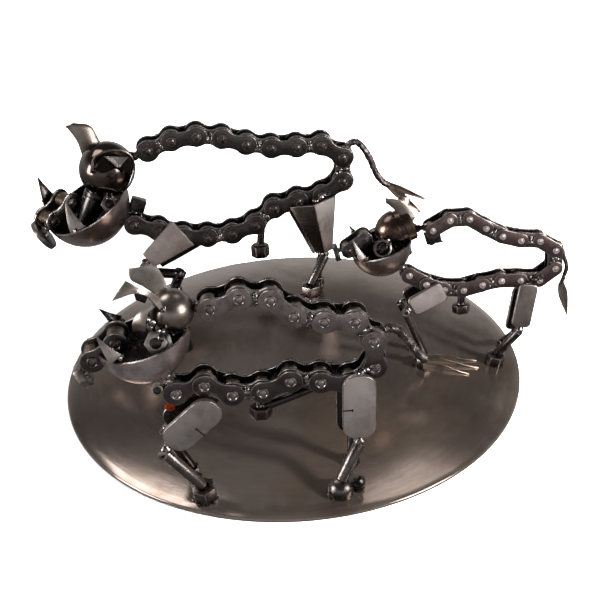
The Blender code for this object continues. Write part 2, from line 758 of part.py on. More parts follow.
def rounded(corners, radius, steps):
    """An outline with its corners rounded."""
    outline = []
    for number, corner in enumerate(corners):
        at = Vector(corner)
        before = (Vector(corners[number - 1]) - at).normalized()
        after = (Vector(corners[(number + 1) % len(corners)]) - at).normalized()
        half = before.angle(after) / 2
        centre = at + (before + after).normalized() * radius / math.sin(half)
        start = at + before * radius / math.tan(half) - centre
        end = at + after * radius / math.tan(half) - centre
        for k in range(steps):
            share = start.lerp(end, k / (steps - 1)).normalized() * radius
            outline.append(tuple(centre + share))
    return outline


def make_shin(boar, frame, leg, name, side, knee, down, room):
    """A bar from the knee to the disc, with a nut on its foot for the hoof."""
    along, across = leg["foot"] if side < 0 else leg["foot_far"]
    turn = math.radians(boar.yaw)
    x = boar.at[0] + boar.chain.pitch * (along * math.cos(turn) - across * math.sin(turn))
    y = boar.at[1] + boar.chain.pitch * (along * math.sin(turn) + across * math.cos(turn))
    radius, height = boar.hoof
    bar = boar.shin
    if side > 0:
        radius, height, bar = radius * FAR_HOOF, height * FAR_HOOF, bar * FAR_SHIN
    slope = DOME_HEIGHT * DOME_POWER * (math.hypot(x, y) / DISC_RADIUS) ** (DOME_POWER - 1) / DISC_RADIUS
    into_world = frame_matrix(boar).inverted()
    ground = into_world @ Vector((x, y, dome(math.hypot(x, y))))
    up = (into_world.to_3x3() @ Vector((x * slope, y * slope, math.hypot(x, y)))).normalized()
    ankle = ground + up * height
    bearing = (ankle - knee).normalized()
    start = knee + down * (GAP + bar * down.cross(bearing).length + leg["plate"] / 2)
    bends = leg.get("bends_far", ()) if side > 0 else ()
    joints = [start, *(body_point(boar, bend, start.y) for bend in bends), ankle]
    pieces = [(rod(bar, (two - one).length, 6), towards(one, two)) for one, two in zip(joints, joints[1:])]
    pieces += [(ball(bar, 8, 6), Matrix.Translation(joint)) for joint in joints[1:-1]]
    pieces.append((rod(radius, height * 1.4, 6), towards(ground - up * height * 0.4, ankle)))
    here = joined([(room, into_world)], "disc clearance")
    body(name, cut_by(united(pieces, "shin"), here), "gunmetal", frame)


def make_tail(boar, frame):
    """A rod from the rump with torn leaves of sheet on its end."""
    rump = pins(boar)[boar_rump(boar)]
    points = [rump + body_point(boar, share) for share in boar.tail]
    clear = boar.chain.inner_lobe + boar.tail_radius + GAP
    outwards = (points[0] - rump).normalized()
    points[0] = rump + outwards * max(clear, (points[0] - rump).length)
    curve = bpy.data.curves.new("tail", "CURVE")
    curve.dimensions = "3D"
    curve.bevel_depth = boar.tail_radius
    curve.bevel_resolution = 0
    curve.use_fill_caps = True
    spline = curve.splines.new("POLY")
    path = smooth_path(points, 2)
    spline.points.add(len(path) - 1)
    for point, at in zip(spline.points, path):
        point.co = (*at, 1.0)
    pieces = [(curve_mesh(curve, "tail"), HERE)]
    for start, end, width in boar.tail_blades:
        a, b = rump + body_point(boar, start), rump + body_point(boar, end)
        length = (b - a).length
        leaf = plate([(0, -width * 0.35), (length * 0.35, -width / 2), (length, 0), (length * 0.35, width / 2),
                      (0, width * 0.35)], EAR_SHEET)
        down = math.atan2(b.z - a.z, b.x - a.x)
        pieces.append((leaf, Matrix.Translation(a) @ SIDE_ON @ Matrix.Rotation(down, 4, "Z")))
    body(boar.name + "_tail", united(pieces, "tail"), "gunmetal", frame)


def boar_rump(boar):
    """The number of the rearmost pin of the back, where the chain turns down."""
    run = pins(boar)
    return max(range(len(run) // 2 + 1), key=lambda k: run[k].x + 0.4 * run[k].z)


def smooth_path(points, between):
    """Points along a smooth curve through the given ones."""
    path = []
    for k in range(len(points) - 1):
        before = points[max(k - 1, 0)]
        after = points[min(k + 2, len(points) - 1)]
        a, b = points[k], points[k + 1]
        for step in range(between):
            t = step / between
            path.append(0.5 * (2 * a + (b - before) * t + (2 * before - 5 * a + 4 * b - after) * t * t
                               + (3 * a - before - 3 * b + after) * t * t * t))
    path.append(points[-1])
    return path


def frame_matrix(boar):
    """The boar's own frame: X rearwards, Y away from the viewer, Z up, turned by its yaw and lean."""
    turn = Matrix.Rotation(math.radians(boar.yaw), 4, "Z") @ Matrix.Rotation(math.radians(-boar.lean), 4, "X")
    return Matrix.Translation((*boar.at, boar.stand)) @ turn


def make_boar(boar, room):
    frame = bpy.data.objects.new(boar.name + " boar", None)
    SCULPTURE.objects.link(frame)
    frame.parent = GROUP
    frame.matrix_basis = frame_matrix(boar)
    jaw_room = jaw_clearance(boar)
    make_chain(boar, frame)
    make_skull(boar, frame, jaw_room)
    make_jaw(boar, frame, snout_clearance(boar))
    make_snout(boar, frame)
    skull_room = skull_shape(boar, boar.skull + GAP)
    for number, (side, label) in enumerate(((1, "near"), (-1, "far"))):
        make_eye(boar, frame, side, label, skull_room, jaw_room)
        make_tusk(boar, frame, number, label, jaw_room)
        make_ear(boar, frame, number, label, skull_room)
    for which, leg in boar.legs.items():
        for side, label in ((-1, "near"), (1, "far")):
            knee, down = make_thigh(boar, frame, leg, f"{boar.name}_{which}_thigh_{label}", side)
            make_shin(boar, frame, leg, f"{boar.name}_{which}_shin_{label}", side, knee, down, room)
    make_tail(boar, frame)


def stand_at_origin(group):
    """Puts the middle of the whole sculpture's underside at the origin."""
    bpy.context.view_layer.update()
    graph = bpy.context.evaluated_depsgraph_get()
    corners = [piece.matrix_world @ vert.co for piece in SCULPTURE.objects if piece.type == "MESH"
               for vert in piece.evaluated_get(graph).data.vertices]
    low = Vector([min(corner[axis] for corner in corners) for axis in range(3)])
    high = Vector([max(corner[axis] for corner in corners) for axis in range(3)])
    group.location = (-(low.x + high.x) / 2, -(low.y + high.y) / 2, -low.z)


for old in list(bpy.data.objects):
    bpy.data.objects.remove(old)

SCULPTURE = collection("recycled metal boar sculpture")
GROUP = bpy.data.objects.new("group", None)
SCULPTURE.objects.link(GROUP)

DISC = make_disc()
DISC.parent = GROUP
ROOM = dome_clearance()
for each in BOARS:
    make_boar(each, ROOM)
stand_at_origin(GROUP)
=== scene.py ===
"""Three wild boars of roller chain and scrap steel, welded together on one domed steel disc."""

import math
import random
from dataclasses import dataclass

import bmesh
import bpy
from mathutils import Matrix, Vector, noise


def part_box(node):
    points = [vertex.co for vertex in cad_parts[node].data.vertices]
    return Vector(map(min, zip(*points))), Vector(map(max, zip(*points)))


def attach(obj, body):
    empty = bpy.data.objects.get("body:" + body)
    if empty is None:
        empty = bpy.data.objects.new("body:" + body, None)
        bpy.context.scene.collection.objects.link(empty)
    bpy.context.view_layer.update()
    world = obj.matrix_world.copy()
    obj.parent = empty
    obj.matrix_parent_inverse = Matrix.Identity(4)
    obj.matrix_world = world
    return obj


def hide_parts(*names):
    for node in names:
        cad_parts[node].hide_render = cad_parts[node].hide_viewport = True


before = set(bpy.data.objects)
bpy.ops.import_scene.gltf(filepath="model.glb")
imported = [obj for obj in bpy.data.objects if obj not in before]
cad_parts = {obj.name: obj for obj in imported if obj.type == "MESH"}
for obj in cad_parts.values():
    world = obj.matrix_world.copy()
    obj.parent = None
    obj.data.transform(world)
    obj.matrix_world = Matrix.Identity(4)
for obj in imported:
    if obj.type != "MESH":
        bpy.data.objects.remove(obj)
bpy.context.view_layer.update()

# The base: a disc pressed from 2.5 mm sheet steel and domed like a shield. Its bare top is worn to a satin grey-brown,
# with faint turning marks, warm heat tints and darker burns. It stands on its rolled rim.

DISC_LOW, DISC_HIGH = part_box("disc")
DISC_CENTRE = Vector(((DISC_LOW.x + DISC_HIGH.x) / 2, (DISC_LOW.y + DISC_HIGH.y) / 2, 0.0))
DISC_RADIUS = (DISC_HIGH.y - DISC_LOW.y) / 2
DISC_SHEET = 0.0025
DOME_HEIGHT = DISC_HIGH.z - DISC_SHEET
DOME_POWER = 3.0
DISC_RINGS = 26
DISC_STEPS = 160
ROLLED_EDGE = 0.0008
DENTS, DENTS_PER_METRE = 0.00012, 32
DISC_METAL = 0.955
DISC_HEAT_TINT = (0.222, 0.160, 0.118, 1)
MARKS_ROUND = 0.018
SMOOTH_ANGLE = math.radians(38)
NODE_STEP = 180


def node(tree, kind, *first, **named):
    """A shader node. Its first and named inputs are linked to other nodes' sockets, or set to plain values."""
    made = tree.nodes.new("ShaderNode" + kind)
    made.location.x = NODE_STEP * len(tree.nodes)
    for key, value in (*named.items(), *enumerate(first)):
        if isinstance(key, str) and hasattr(made, key):
            setattr(made, key, value)
            continue
        socket = made.inputs[key.replace("_", " ") if isinstance(key, str) else key]
        if isinstance(value, bpy.types.NodeSocket):
            tree.links.new(value, socket)
        else:
            socket.default_value = value
    return made


def group_of(name, inputs, outputs):
    """An empty shader node group with named inputs and outputs."""
    tree = bpy.data.node_groups.new(name, "ShaderNodeTree")
    for way, sockets in (("INPUT", inputs), ("OUTPUT", outputs)):
        for label, kind in sockets.items():
            tree.interface.new_socket(name=label, in_out=way, socket_type="NodeSocket" + kind)
    return tree, tree.nodes.new("NodeGroupInput").outputs, tree.nodes.new("NodeGroupOutput").inputs


def make_worn_steel():
    """Steel with darker patches, a fine grain and uneven polish."""
    tree, given, out = group_of("worn steel", dict(Vector="Vector", Steel="Color", Stain="Color", Patches="Float",
                                                   Grain="Float", Polish="Float", Spread="Float"),
                                dict(Color="Color", Roughness="Float", Height="Float"))
    broad = node(tree, "TexNoise", Vector=given["Vector"], Scale=given["Patches"], Detail=5.0, Roughness=0.62)
    fine = node(tree, "TexNoise", Vector=given["Vector"], Scale=given["Grain"], Detail=4.0, Roughness=0.7)
    share = node(tree, "MapRange", broad.outputs["Fac"], interpolation_type="SMOOTHSTEP",
                 From_Min=0.40, From_Max=0.66)
    grain = node(tree, "MapRange", fine.outputs["Fac"], From_Min=0.3, From_Max=0.7)
    both = node(tree, "Math", share.outputs["Result"], grain.outputs["Result"], operation="MULTIPLY")
    mix = node(tree, "Mix", data_type="RGBA", Factor=share.outputs["Result"], A=given["Steel"], B=given["Stain"])
    uneven = node(tree, "Math", both.outputs["Value"], given["Spread"], given["Polish"], operation="MULTIPLY_ADD")
    tree.links.new(mix.outputs["Result"], out["Color"])
    tree.links.new(uneven.outputs["Value"], out["Roughness"])
    tree.links.new(grain.outputs["Result"], out["Height"])
    return tree


WORN_STEEL = make_worn_steel()


def steel(name, color, stain, polish, spread=0.2, patches=45.0, grain=600.0, bump=0.0001, coat=0.0, metal=1.0):
    """A metal finish: its colour, its stains, how polished and how even it is, and its grain."""
    made = bpy.data.materials.new(name)
    made.use_nodes = True
    tree = made.node_tree
    inputs = tree.nodes["Principled BSDF"].inputs
    for label, value in (("Metallic", metal), ("Coat Weight", coat), ("Coat Roughness", 0.12)):
        inputs[label].default_value = value
    place = node(tree, "TexCoord")
    worn = node(tree, "Group", node_tree=WORN_STEEL, Vector=place.outputs["Object"], Steel=(*color, 1),
                Stain=(*stain, 1), Patches=patches, Grain=grain, Polish=polish, Spread=spread)
    relief = node(tree, "Bump", Strength=0.6, Distance=bump, Height=worn.outputs["Height"])
    tree.links.new(worn.outputs["Color"], inputs["Base Color"])
    tree.links.new(worn.outputs["Roughness"], inputs["Roughness"])
    tree.links.new(relief.outputs["Normal"], inputs["Normal"])
    return made


def outward(bm):
    """Turns a closed shape's faces outwards."""
    bmesh.ops.recalc_face_normals(bm, faces=bm.faces)
    if bm.calc_volume(signed=True) < 0:
        bmesh.ops.reverse_faces(bm, faces=bm.faces)


def mesh_of(bm, name="template"):
    """Keeps a drawn shape as a mesh: a finished piece, or a template to be placed many times."""
    mesh = bpy.data.meshes.new(name)
    bm.to_mesh(mesh)
    bm.free()
    return mesh


def to_piece(bm, name, finishes, nodes):
    """Makes a finished piece that rides on the sculpture and stands for its solids."""
    mesh = mesh_of(bm, name)
    for finish in finishes:
        mesh.materials.append(finish)
    mesh.shade_smooth()
    mesh.set_sharp_from_angle(angle=SMOOTH_ANGLE)
    made = bpy.data.objects.new(name, mesh)
    bpy.context.scene.collection.objects.link(made)
    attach(made, "root")
    if nodes:
        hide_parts(*nodes)


def profile_of(bm, points):
    """A line of edges through points in X and Z."""
    verts = [bm.verts.new((x, 0.0, z)) for x, z in points]
    for pair in zip(verts, verts[1:]):
        bm.edges.new(pair)


def turn_round(bm, steps):
    """Turns everything drawn so far once around Z, and closes its seam and poles."""
    bmesh.ops.spin(bm, geom=bm.verts[:] + bm.edges[:], axis=(0, 0, 1), cent=(0, 0, 0), steps=steps,
                   angle=math.tau, use_merge=True)
    bmesh.ops.remove_doubles(bm, verts=bm.verts, dist=0.000005)
    bmesh.ops.dissolve_degenerate(bm, edges=bm.edges, dist=0.000001)
    outward(bm)


def dome(r):
    """Height of the disc's upper face at a distance from its centre."""
    return DISC_SHEET + DOME_HEIGHT * (1 - min(r / DISC_RADIUS, 1.0) ** DOME_POWER)


def make_disc_steel():
    """Satin sheet: turning marks that run round the centre, warm heat tints and darker burns."""
    made = steel("disc steel", (0.232, 0.187, 0.164), (0.128, 0.098, 0.082), 0.13, spread=0.10, patches=14.0,
                 grain=900.0, bump=0.00002, metal=DISC_METAL)
    tree = made.node_tree
    base_color = tree.nodes["Principled BSDF"].inputs["Base Color"]
    place = node(tree, "TexCoord")
    centred = node(tree, "Mapping", place.outputs["Object"], Location=(-DISC_CENTRE.x, 0, 0))
    parts = node(tree, "SeparateXYZ", centred.outputs["Vector"])
    radius = node(tree, "VectorMath", centred.outputs["Vector"], operation="LENGTH")
    angle = node(tree, "Math", parts.outputs["Y"], parts.outputs["X"], operation="ARCTAN2")
    around = node(tree, "Math", angle.outputs["Value"], MARKS_ROUND, operation="MULTIPLY")
    polar = node(tree, "CombineXYZ", around.outputs["Value"], radius.outputs["Value"])
    marks = node(tree, "TexNoise", Vector=polar.outputs["Vector"], Scale=420.0, Detail=4.0, Roughness=0.7)
    line = node(tree, "MapRange", marks.outputs["Fac"], From_Min=0.3, From_Max=0.7, To_Min=0.86, To_Max=1.12)
    tint = node(tree, "TexNoise", Vector=centred.outputs["Vector"], Scale=9.0, Detail=3.0,
                Roughness=0.55, Distortion=0.4)
    warm = node(tree, "MapRange", tint.outputs["Fac"], interpolation_type="SMOOTHSTEP", From_Min=0.45,
                From_Max=0.72, To_Max=0.70)
    color = node(tree, "Mix", data_type="RGBA", Factor=warm.outputs["Result"],
                 A=base_color.links[0].from_socket, B=DISC_HEAT_TINT)
    lined = node(tree, "VectorMath", color.outputs["Result"], operation="SCALE", Scale=line.outputs["Result"])
    tree.links.new(lined.outputs["Vector"], base_color)
    return made


def make_disc():
    """Spins the disc's section round, and leaves its top a little uneven."""
    bm = bmesh.new()
    top = [(DISC_RADIUS * (k / DISC_RINGS), dome(DISC_RADIUS * k / DISC_RINGS)) for k in range(DISC_RINGS)]
    inset = DISC_RADIUS - ROLLED_EDGE
    lip = [(inset, dome(inset)), (DISC_RADIUS - ROLLED_EDGE * 0.3, DISC_SHEET - ROLLED_EDGE * 0.2),
           (DISC_RADIUS, DISC_SHEET - ROLLED_EDGE), (DISC_RADIUS, ROLLED_EDGE), (inset, 0.0),
           (DISC_RADIUS - DISC_SHEET, 0.0)]
    under = [(r * (1 - DISC_SHEET / DISC_RADIUS), z - DISC_SHEET) for r, z in reversed(top) if z > DISC_SHEET * 1.4]
    profile_of(bm, top + lip + under)
    turn_round(bm, DISC_STEPS)
    for vert in bm.verts:
        if vert.co.z > DISC_SHEET:
            vert.co.z += DENTS * noise.noise(vert.co * DENTS_PER_METRE)
    bmesh.ops.translate(bm, verts=bm.verts, vec=DISC_CENTRE)
    to_piece(bm, "domed_disc", [make_disc_steel()], ["disc"])


make_disc()

# The bodies: each is one run of roller chain, its links locked by weld. Blackened plates with worn edges, painted
# bright as a highlight, sit in pairs on both sides of bronze-brown rollers, and every pin shows a peened head with a
# ring round it.

FACE, EDGE, WELD, DARK, ROLLER, PIN = range(6)
STAND = 0.080
EASED = 0.00035
PLATE_AIR = 0.00012
MILLIMETRE = 0.001


def move(x=0.0, y=0.0, z=0.0):
    return Matrix.Translation((x, y, z))


def turn(degrees, axis):
    return Matrix.Rotation(math.radians(degrees), 4, axis)


def towards_heading(degrees):
    return Vector((math.cos(math.radians(degrees)), 0.0, math.sin(math.radians(degrees))))


def towards_round(angle):
    return Vector((math.cos(angle), math.sin(angle), 0))


@dataclass
class Chain:
    """Roller chain: its pitch, plates, and the rollers between them."""

    pitch: float
    outer_lobe: float
    inner_lobe: float
    waist: float
    plate: float
    inside: float
    roller: float
    pin: float

    @property
    def inner_face(self):
        return self.inside / 2 + self.plate

    @property
    def outer_face(self):
        return self.inner_face + self.plate


@dataclass
class Boar:
    """Where a boar stands, how its chain bends from the skull round to the jaw, and which links are welded."""

    name: str
    chain: Chain
    at: tuple
    yaw: float
    lean: float
    first_pin: tuple
    headings: list
    first_is_outer: bool
    welded: tuple

    @property
    def home(self):
        """The boar's own frame: X rearwards, Y away from the viewer, Z up."""
        return move(*DISC_CENTRE + Vector((*self.at, STAND))) @ turn(self.yaw, "Z") @ turn(-self.lean, "X")

    @property
    def pins(self):
        at = self.point(*self.first_pin)
        run = [at.copy()]
        for heading in self.headings:
            at = at + towards_heading(heading) * self.chain.pitch
            run.append(at)
        return run

    def point(self, x, z, across=0.0):
        return Vector((x * self.chain.pitch, across, z * self.chain.pitch))

    def is_outer(self, link):
        return (link % 2 == 0) == self.first_is_outer


BIG_CHAIN = Chain(pitch=0.015875, outer_lobe=0.0066, inner_lobe=0.0072, waist=0.0046, plate=0.00175, inside=0.0068,
                  roller=0.0051, pin=0.0031)
SMALL_CHAIN = Chain(pitch=0.01145, outer_lobe=0.0044, inner_lobe=0.0048, waist=0.0045, plate=0.0013, inside=0.0056,
                    roller=0.0036, pin=0.0019)
FRONT = Boar("front", BIG_CHAIN, at=(0.0, -0.107), yaw=2.0, lean=1.0, first_pin=(-2.54, 2.72), first_is_outer=True,
             headings=[17, -8, -43, -17, -6, -53, -90, -145, 171, 172, -160, -179, 153, -163],
             welded=(1, 3, 5, 7, 9, 11))
BACK = Boar("back", BIG_CHAIN, at=(-0.030, 0.089), yaw=5.0, lean=7.0, first_pin=(-3.26, 2.24), first_is_outer=False,
            headings=[20, 5, -11, -20, -14, -4, -1, -36, -93, -148, -172, -168, -143, -162, -178, 172, 160, 158],
            welded=(0, 2, 4, 6, 8, 12, 14, 16))
SMALL = Boar("small", SMALL_CHAIN, at=(0.130, -0.0005), yaw=5.0, lean=10.0, first_pin=(-3.96, 1.65),
             headings=[26, -2, -35, -32, -19, -8, -36, -91, -147, 174, 175, -173, -170, 172, 157, 147],
             first_is_outer=True, welded=(1, 3, 5, 7, 9, 11, 13))
BOARS = (FRONT, BACK, SMALL)
SIDE_ON = turn(90, "X")
LOCK_BEADS = ((0.0, 3.2, 1.1), (0.2, 1.8, 1.5), (0.0, 0.2, 1.8), (-1.2, -1.2, 1.6), (1.3, -1.4, 1.5),
              (-2.4, -2.5, 1.4), (2.5, -2.6, 1.3), (0.0, -2.4, 1.2))
BELLY_RING, RING_WELD = dict(radius=0.0032, hole=0.0022, height=0.0045, sides=20), 0.0017
RING_PLUG = ((0.0, 0.0004), (0.0023, 0.0004), (0.0023, 0.0030), (0.0, 0.0030))
RING_AT, RING_FACING = Vector((-0.0096, -0.002, 0.0030)), Vector((0, -1, 0.3))
BROKEN_LINK = ((-5.5, -0.6), (-3.6, -8.6), (-0.3, -9.6), (1.7, -8.4), (3.5, -8.4), (6.5, -8.1), (5.2, -6.7),
               (4.8, -3.1), (5.2, -1.7), (0.0, -2.2))
BLOCK_SIZE, BLOCK_EDGE, BLOCK_BEADS = (0.0095, 0.0080, 0.0080), 0.0008, 9
BLOCK_AT, BLOCK_TILT = Vector((0.0035, 0.0, 0.0115)), 22


def make_shade_below():
    """Painted shade that deepens towards the ground, between two heights."""
    tree, given, out = group_of("soot below", dict(Vector="Vector", Color="Color", Low="Float", High="Float",
                                                   Share="Float"), dict(Color="Color"))
    parts = node(tree, "SeparateXYZ", given["Vector"])
    fade = node(tree, "MapRange", parts.outputs["Z"], given["Low"], given["High"], given["Share"])
    darker = node(tree, "VectorMath", given["Color"], operation="SCALE", Scale=fade.outputs["Result"])
    tree.links.new(darker.outputs["Vector"], out["Color"])
    return tree


SHADE_BELOW = make_shade_below()


def shaded_below(finish, low, high, share):
    """Paints shade on a finish: darker towards the ground, down to a share of its colour."""
    tree = finish.node_tree
    base_color = tree.nodes["Principled BSDF"].inputs["Base Color"]
    place = node(tree, "TexCoord")
    shade_on = node(tree, "Group", node_tree=SHADE_BELOW, Vector=place.outputs["Object"],
                   Color=base_color.links[0].from_socket, Low=low, High=high, Share=share)
    tree.links.new(shade_on.outputs["Color"], base_color)
    return finish


plate_steel = {
    # The front plates are painted darker towards the belly run: painted shade.
    "front": shaded_below(steel("mauve-grey plate steel", (0.290, 0.240, 0.229), (0.140, 0.112, 0.105), 0.34,
                          patches=110.0, grain=900.0, bump=0.00008, coat=0.2), 0.080, 0.105, 0.26),
    "back": steel("black plate steel", (0.075, 0.064, 0.060), (0.034, 0.028, 0.026), 0.26, spread=0.24,
                  patches=120.0, grain=900.0, bump=0.00008, coat=0.35),
    "small": steel("brown-black plate steel", (0.110, 0.072, 0.069), (0.060, 0.041, 0.039), 0.30,
                   patches=150.0, grain=900.0, bump=0.00008, coat=0.25)}
pin_steel = {
    "front": steel("grey pin head", (0.300, 0.260, 0.245), (0.120, 0.098, 0.092), 0.34, patches=300.0),
    "back": steel("dark pin head", (0.150, 0.128, 0.120), (0.055, 0.046, 0.043), 0.28, patches=300.0),
    "small": steel("bright pin head", (0.520, 0.472, 0.445), (0.290, 0.252, 0.232), 0.52, patches=300.0)}
# The edge finish: wear, with a lighter colour that paints the highlight on rounded edges.
edge_wear_and_sheen = steel("worn edge", (0.34, 0.30, 0.28), (0.12, 0.10, 0.09), 0.24, patches=260.0)
roller_steel = steel("bronzed roller", (0.25, 0.190, 0.135), (0.10, 0.072, 0.052), 0.22, patches=90.0)
weld_steel = steel("weld bead", (0.200, 0.176, 0.164), (0.040, 0.032, 0.029), 0.13, patches=240.0, grain=900.0,
                   coat=0.6)
# Near-black finish: real blackened scrap, and also painted shade on the far-side parts, the bowls' insides, the ring's
# plug and one ear leaf.
black_and_shade_steel = steel("blackened scrap", (0.036, 0.030, 0.028), (0.018, 0.014, 0.013), 0.22, spread=0.22, patches=140.0,
                    coat=0.35)


def add(bm, shape, matrix=Matrix(), material=None):
    """Joins a placed copy of a shape into a piece."""
    placed = shape.copy()
    placed.transform(matrix)
    if material is not None:
        placed.polygons.foreach_set("material_index", [material] * len(placed.polygons))
    bm.from_mesh(placed)
    bpy.data.meshes.remove(placed)


def boar_piece(boar, name, bm, finish, stands_for, edge=edge_wear_and_sheen, more=()):
    """Puts a piece drawn in its boar's own frame in its place. Every piece has the same first four finishes."""
    bmesh.ops.transform(bm, matrix=boar.home, verts=bm.verts)
    to_piece(bm, f"{boar.name}_{name}", [finish, edge, weld_steel, black_and_shade_steel, *more],
             [f"{boar.name}_{stands_for}"] if stands_for else [])


def rise(edge):
    return abs(edge.verts[0].co.z - edge.verts[1].co.z)


def ease(bm, edges, width, segments=2):
    """Rounds edges over and gives them the piece's edge finish, on most pieces worn steel painted bright as a
    highlight.
    """
    bmesh.ops.bevel(bm, geom=edges, offset=width, segments=segments, profile=0.5, affect="EDGES", material=EDGE,
                    clamp_overlap=True)


def traced(start, turns):
    """A flat outline in X and Y, drawn by turning its last point about one centre after another, and filled."""
    bm = bmesh.new()
    last = bm.verts.new((*start, 0.0))
    for centre, degrees, steps in turns:
        made = bmesh.ops.spin(bm, geom=[last], axis=(0, 0, 1), cent=(*centre, 0.0), steps=steps,
                              angle=math.radians(degrees))
        last = next(item for item in made["geom_last"] if isinstance(item, bmesh.types.BMVert))
    bmesh.ops.remove_doubles(bm, verts=bm.verts, dist=0.00001)
    bmesh.ops.contextual_create(bm, geom=bm.edges[:])
    return bm


def thicken(bm, thickness, edge=EASED, segments=2):
    """Raises a flat outline into a plate with rounded, worn edges."""
    bmesh.ops.recalc_face_normals(bm, faces=bm.faces)
    raised = bmesh.ops.extrude_face_region(bm, geom=bm.faces[:], use_keep_orig=True)
    verts = [item for item in raised["geom"] if isinstance(item, bmesh.types.BMVert)]
    bmesh.ops.translate(bm, verts=verts, vec=(0, 0, thickness))
    outward(bm)
    rims = [e for e in bm.edges if len(e.link_faces) == 2 and e.calc_face_angle() > math.radians(60)
            and rise(e) < thickness / 2]
    ease(bm, rims, edge, segments)
    return bm


def link_plate(chain, lobe, face_material=FACE):
    """A chain plate: a lobe round each of two pins, drawn in between them by two hollow arcs."""
    pitch, waist = chain.pitch, chain.waist
    hollow = ((pitch / 2) ** 2 + waist ** 2 - lobe ** 2) / (2 * max(lobe - waist, 0.0001))
    lean = math.degrees(math.atan2(waist + hollow, pitch / 2))
    start = (pitch + lobe * math.cos(math.radians(lean - 180)), lobe * math.sin(math.radians(lean - 180)))
    turns = [((pitch, 0.0), 360 - 2 * lean, 14), ((pitch / 2, waist + hollow), 2 * lean - 180, 6),
             ((0.0, 0.0), 360 - 2 * lean, 14), ((pitch / 2, -waist - hollow), 2 * lean - 180, 6)]
    made = thicken(traced(start, turns), chain.plate - PLATE_AIR)
    for face in made.faces:
        face.material_index = face.material_index or face_material
    return mesh_of(made)


def turned(points, steps=20):
    bm = bmesh.new()
    profile_of(bm, points)
    turn_round(bm, steps)
    return mesh_of(bm)


def pin_head(radius):
    """A peened pin end: a shallow dimple inside a raised ring."""
    section = ((0.0, 0.24), (0.46, 0.22), (0.62, 0.10), (0.76, 0.30), (0.94, 0.26), (1.04, 0.08), (1.04, -0.3),
               (0.0, -0.3))
    return turned([(radius * out, radius * up) for out, up in section], 18)


def roller_shape(radius, half):
    """A roller with rounded ends on a narrower bush."""
    edge, bush = radius * 0.10, radius * 0.72
    return turned([(0.0, -half - edge), (bush, -half - edge), (bush, -half + edge), (radius - edge, -half + edge),
                   (radius, -half + 2 * edge), (radius, half - 2 * edge), (radius - edge, half - edge),
                   (bush, half - edge), (bush, half + edge), (0.0, half + edge)], 24)


def towards(start, end):
    """Places a shape that stands along Z at start, pointing at end."""
    return move(*start) @ (Vector(end) - Vector(start)).to_track_quat("Z", "Y").to_matrix().to_4x4()


def nut_shape(radius, hole, height, sides=6, edge=0.0004):
    """A nut: flat sides round a hole, with its corners eased."""
    bm = bmesh.new()
    verts = [bm.verts.new((x, 0.0, z)) for x, z in ((radius, 0.0), (radius, height), (hole, height), (hole, 0.0))]
    for pair in zip(verts, verts[1:] + verts[:1]):
        bm.edges.new(pair)
    bmesh.ops.spin(bm, geom=bm.verts[:] + bm.edges[:], axis=(0, 0, 1), cent=(0, 0, 0), steps=sides,
                   angle=math.tau, use_merge=True)
    bmesh.ops.remove_doubles(bm, verts=bm.verts, dist=0.00001)
    outward(bm)
    middle = (radius + hole) / 2
    bore = [e for e in bm.edges if max(v.co.xy.length for v in e.verts) < middle and rise(e) < height / 2]
    bmesh.ops.subdivide_edges(bm, edges=bore, cuts=3, use_grid_fill=False)
    for vert in bm.verts:
        if vert.co.xy.length < middle:
            vert.co.xy = vert.co.xy.normalized() * hole
    ease(bm, [e for e in bm.edges if min(v.co.xy.length for v in e.verts) > middle], edge)
    bmesh.ops.recalc_face_normals(bm, faces=bm.faces)
    return mesh_of(bm)


def bead(bm, at, size, seed, rough=0.35, material=WELD, stretch=(1, 1, 1), detail=3):
    """A lump of weld: a ball pulled about by noise."""
    verts = bmesh.ops.create_icosphere(bm, subdivisions=detail, radius=1.0)["verts"]
    where = Vector((seed * 7.3, seed * 3.1, seed * 1.7))
    for vert in verts:
        lump = noise.noise(vert.co * 1.6 + where) + 0.5 * noise.noise(vert.co * 4.2 + where)
        vert.co = vert.co * (1 + rough * lump) * size
        vert.co = Vector([vert.co[axis] * stretch[axis] for axis in range(3)]) + Vector(at)
    for face in {face for vert in verts for face in vert.link_faces}:
        face.material_index = material


def weld_run(bm, start, end, size, seed, count=6):
    """A line of overlapping beads from one point to another."""
    start, end = Vector(start), Vector(end)
    for number in range(count):
        draw = random.Random(seed * 17 + number)
        shift = Vector([draw.uniform(-0.25, 0.25) * size for _ in range(3)])
        bead(bm, start.lerp(end, number / max(count - 1, 1)) + shift, size * draw.uniform(0.75, 1.15),
             seed + number * 0.71, rough=0.45, detail=2)


def link_weld(bm, chain, matrix, seed, up):
    """Weld that locks two neighbouring links: a small tent with two feet, standing on the inner plate."""
    unit = chain.pitch / BIG_CHAIN.pitch / 1000
    for number, (x, z, size) in enumerate(LOCK_BEADS):
        draw = random.Random(seed * 31 + number)
        lump = bmesh.new()
        bead(lump, (0, 0, 0), size * unit * draw.uniform(0.85, 1.2), seed + number * 0.37, rough=0.3,
             stretch=(1.0, 0.8, 1.15), detail=2)
        spot = (chain.pitch / 2 + (x + draw.uniform(-0.4, 0.4)) * unit, -chain.inner_face - 0.5 * unit,
                up * (z + draw.uniform(-0.3, 0.3)) * unit)
        add(bm, mesh_of(lump), matrix @ move(*spot), WELD)


def add_belly_ring(bm, boar):
    """A ring on a gob of weld past the front end of the belly, with a dark plug in its hole that is painted shade."""
    end = boar.pins[-1]
    at = end + RING_AT
    facing = towards(at, at + RING_FACING)
    add(bm, nut_shape(**BELLY_RING), facing, EDGE)
    # A dark plug in the ring's hole: painted shade.
    add(bm, turned(RING_PLUG, 16), facing, DARK)
    weld_run(bm, at + Vector((0.003, 0, 0)), end + Vector((-0.005, 0, 0)), RING_WELD, 61, 4)


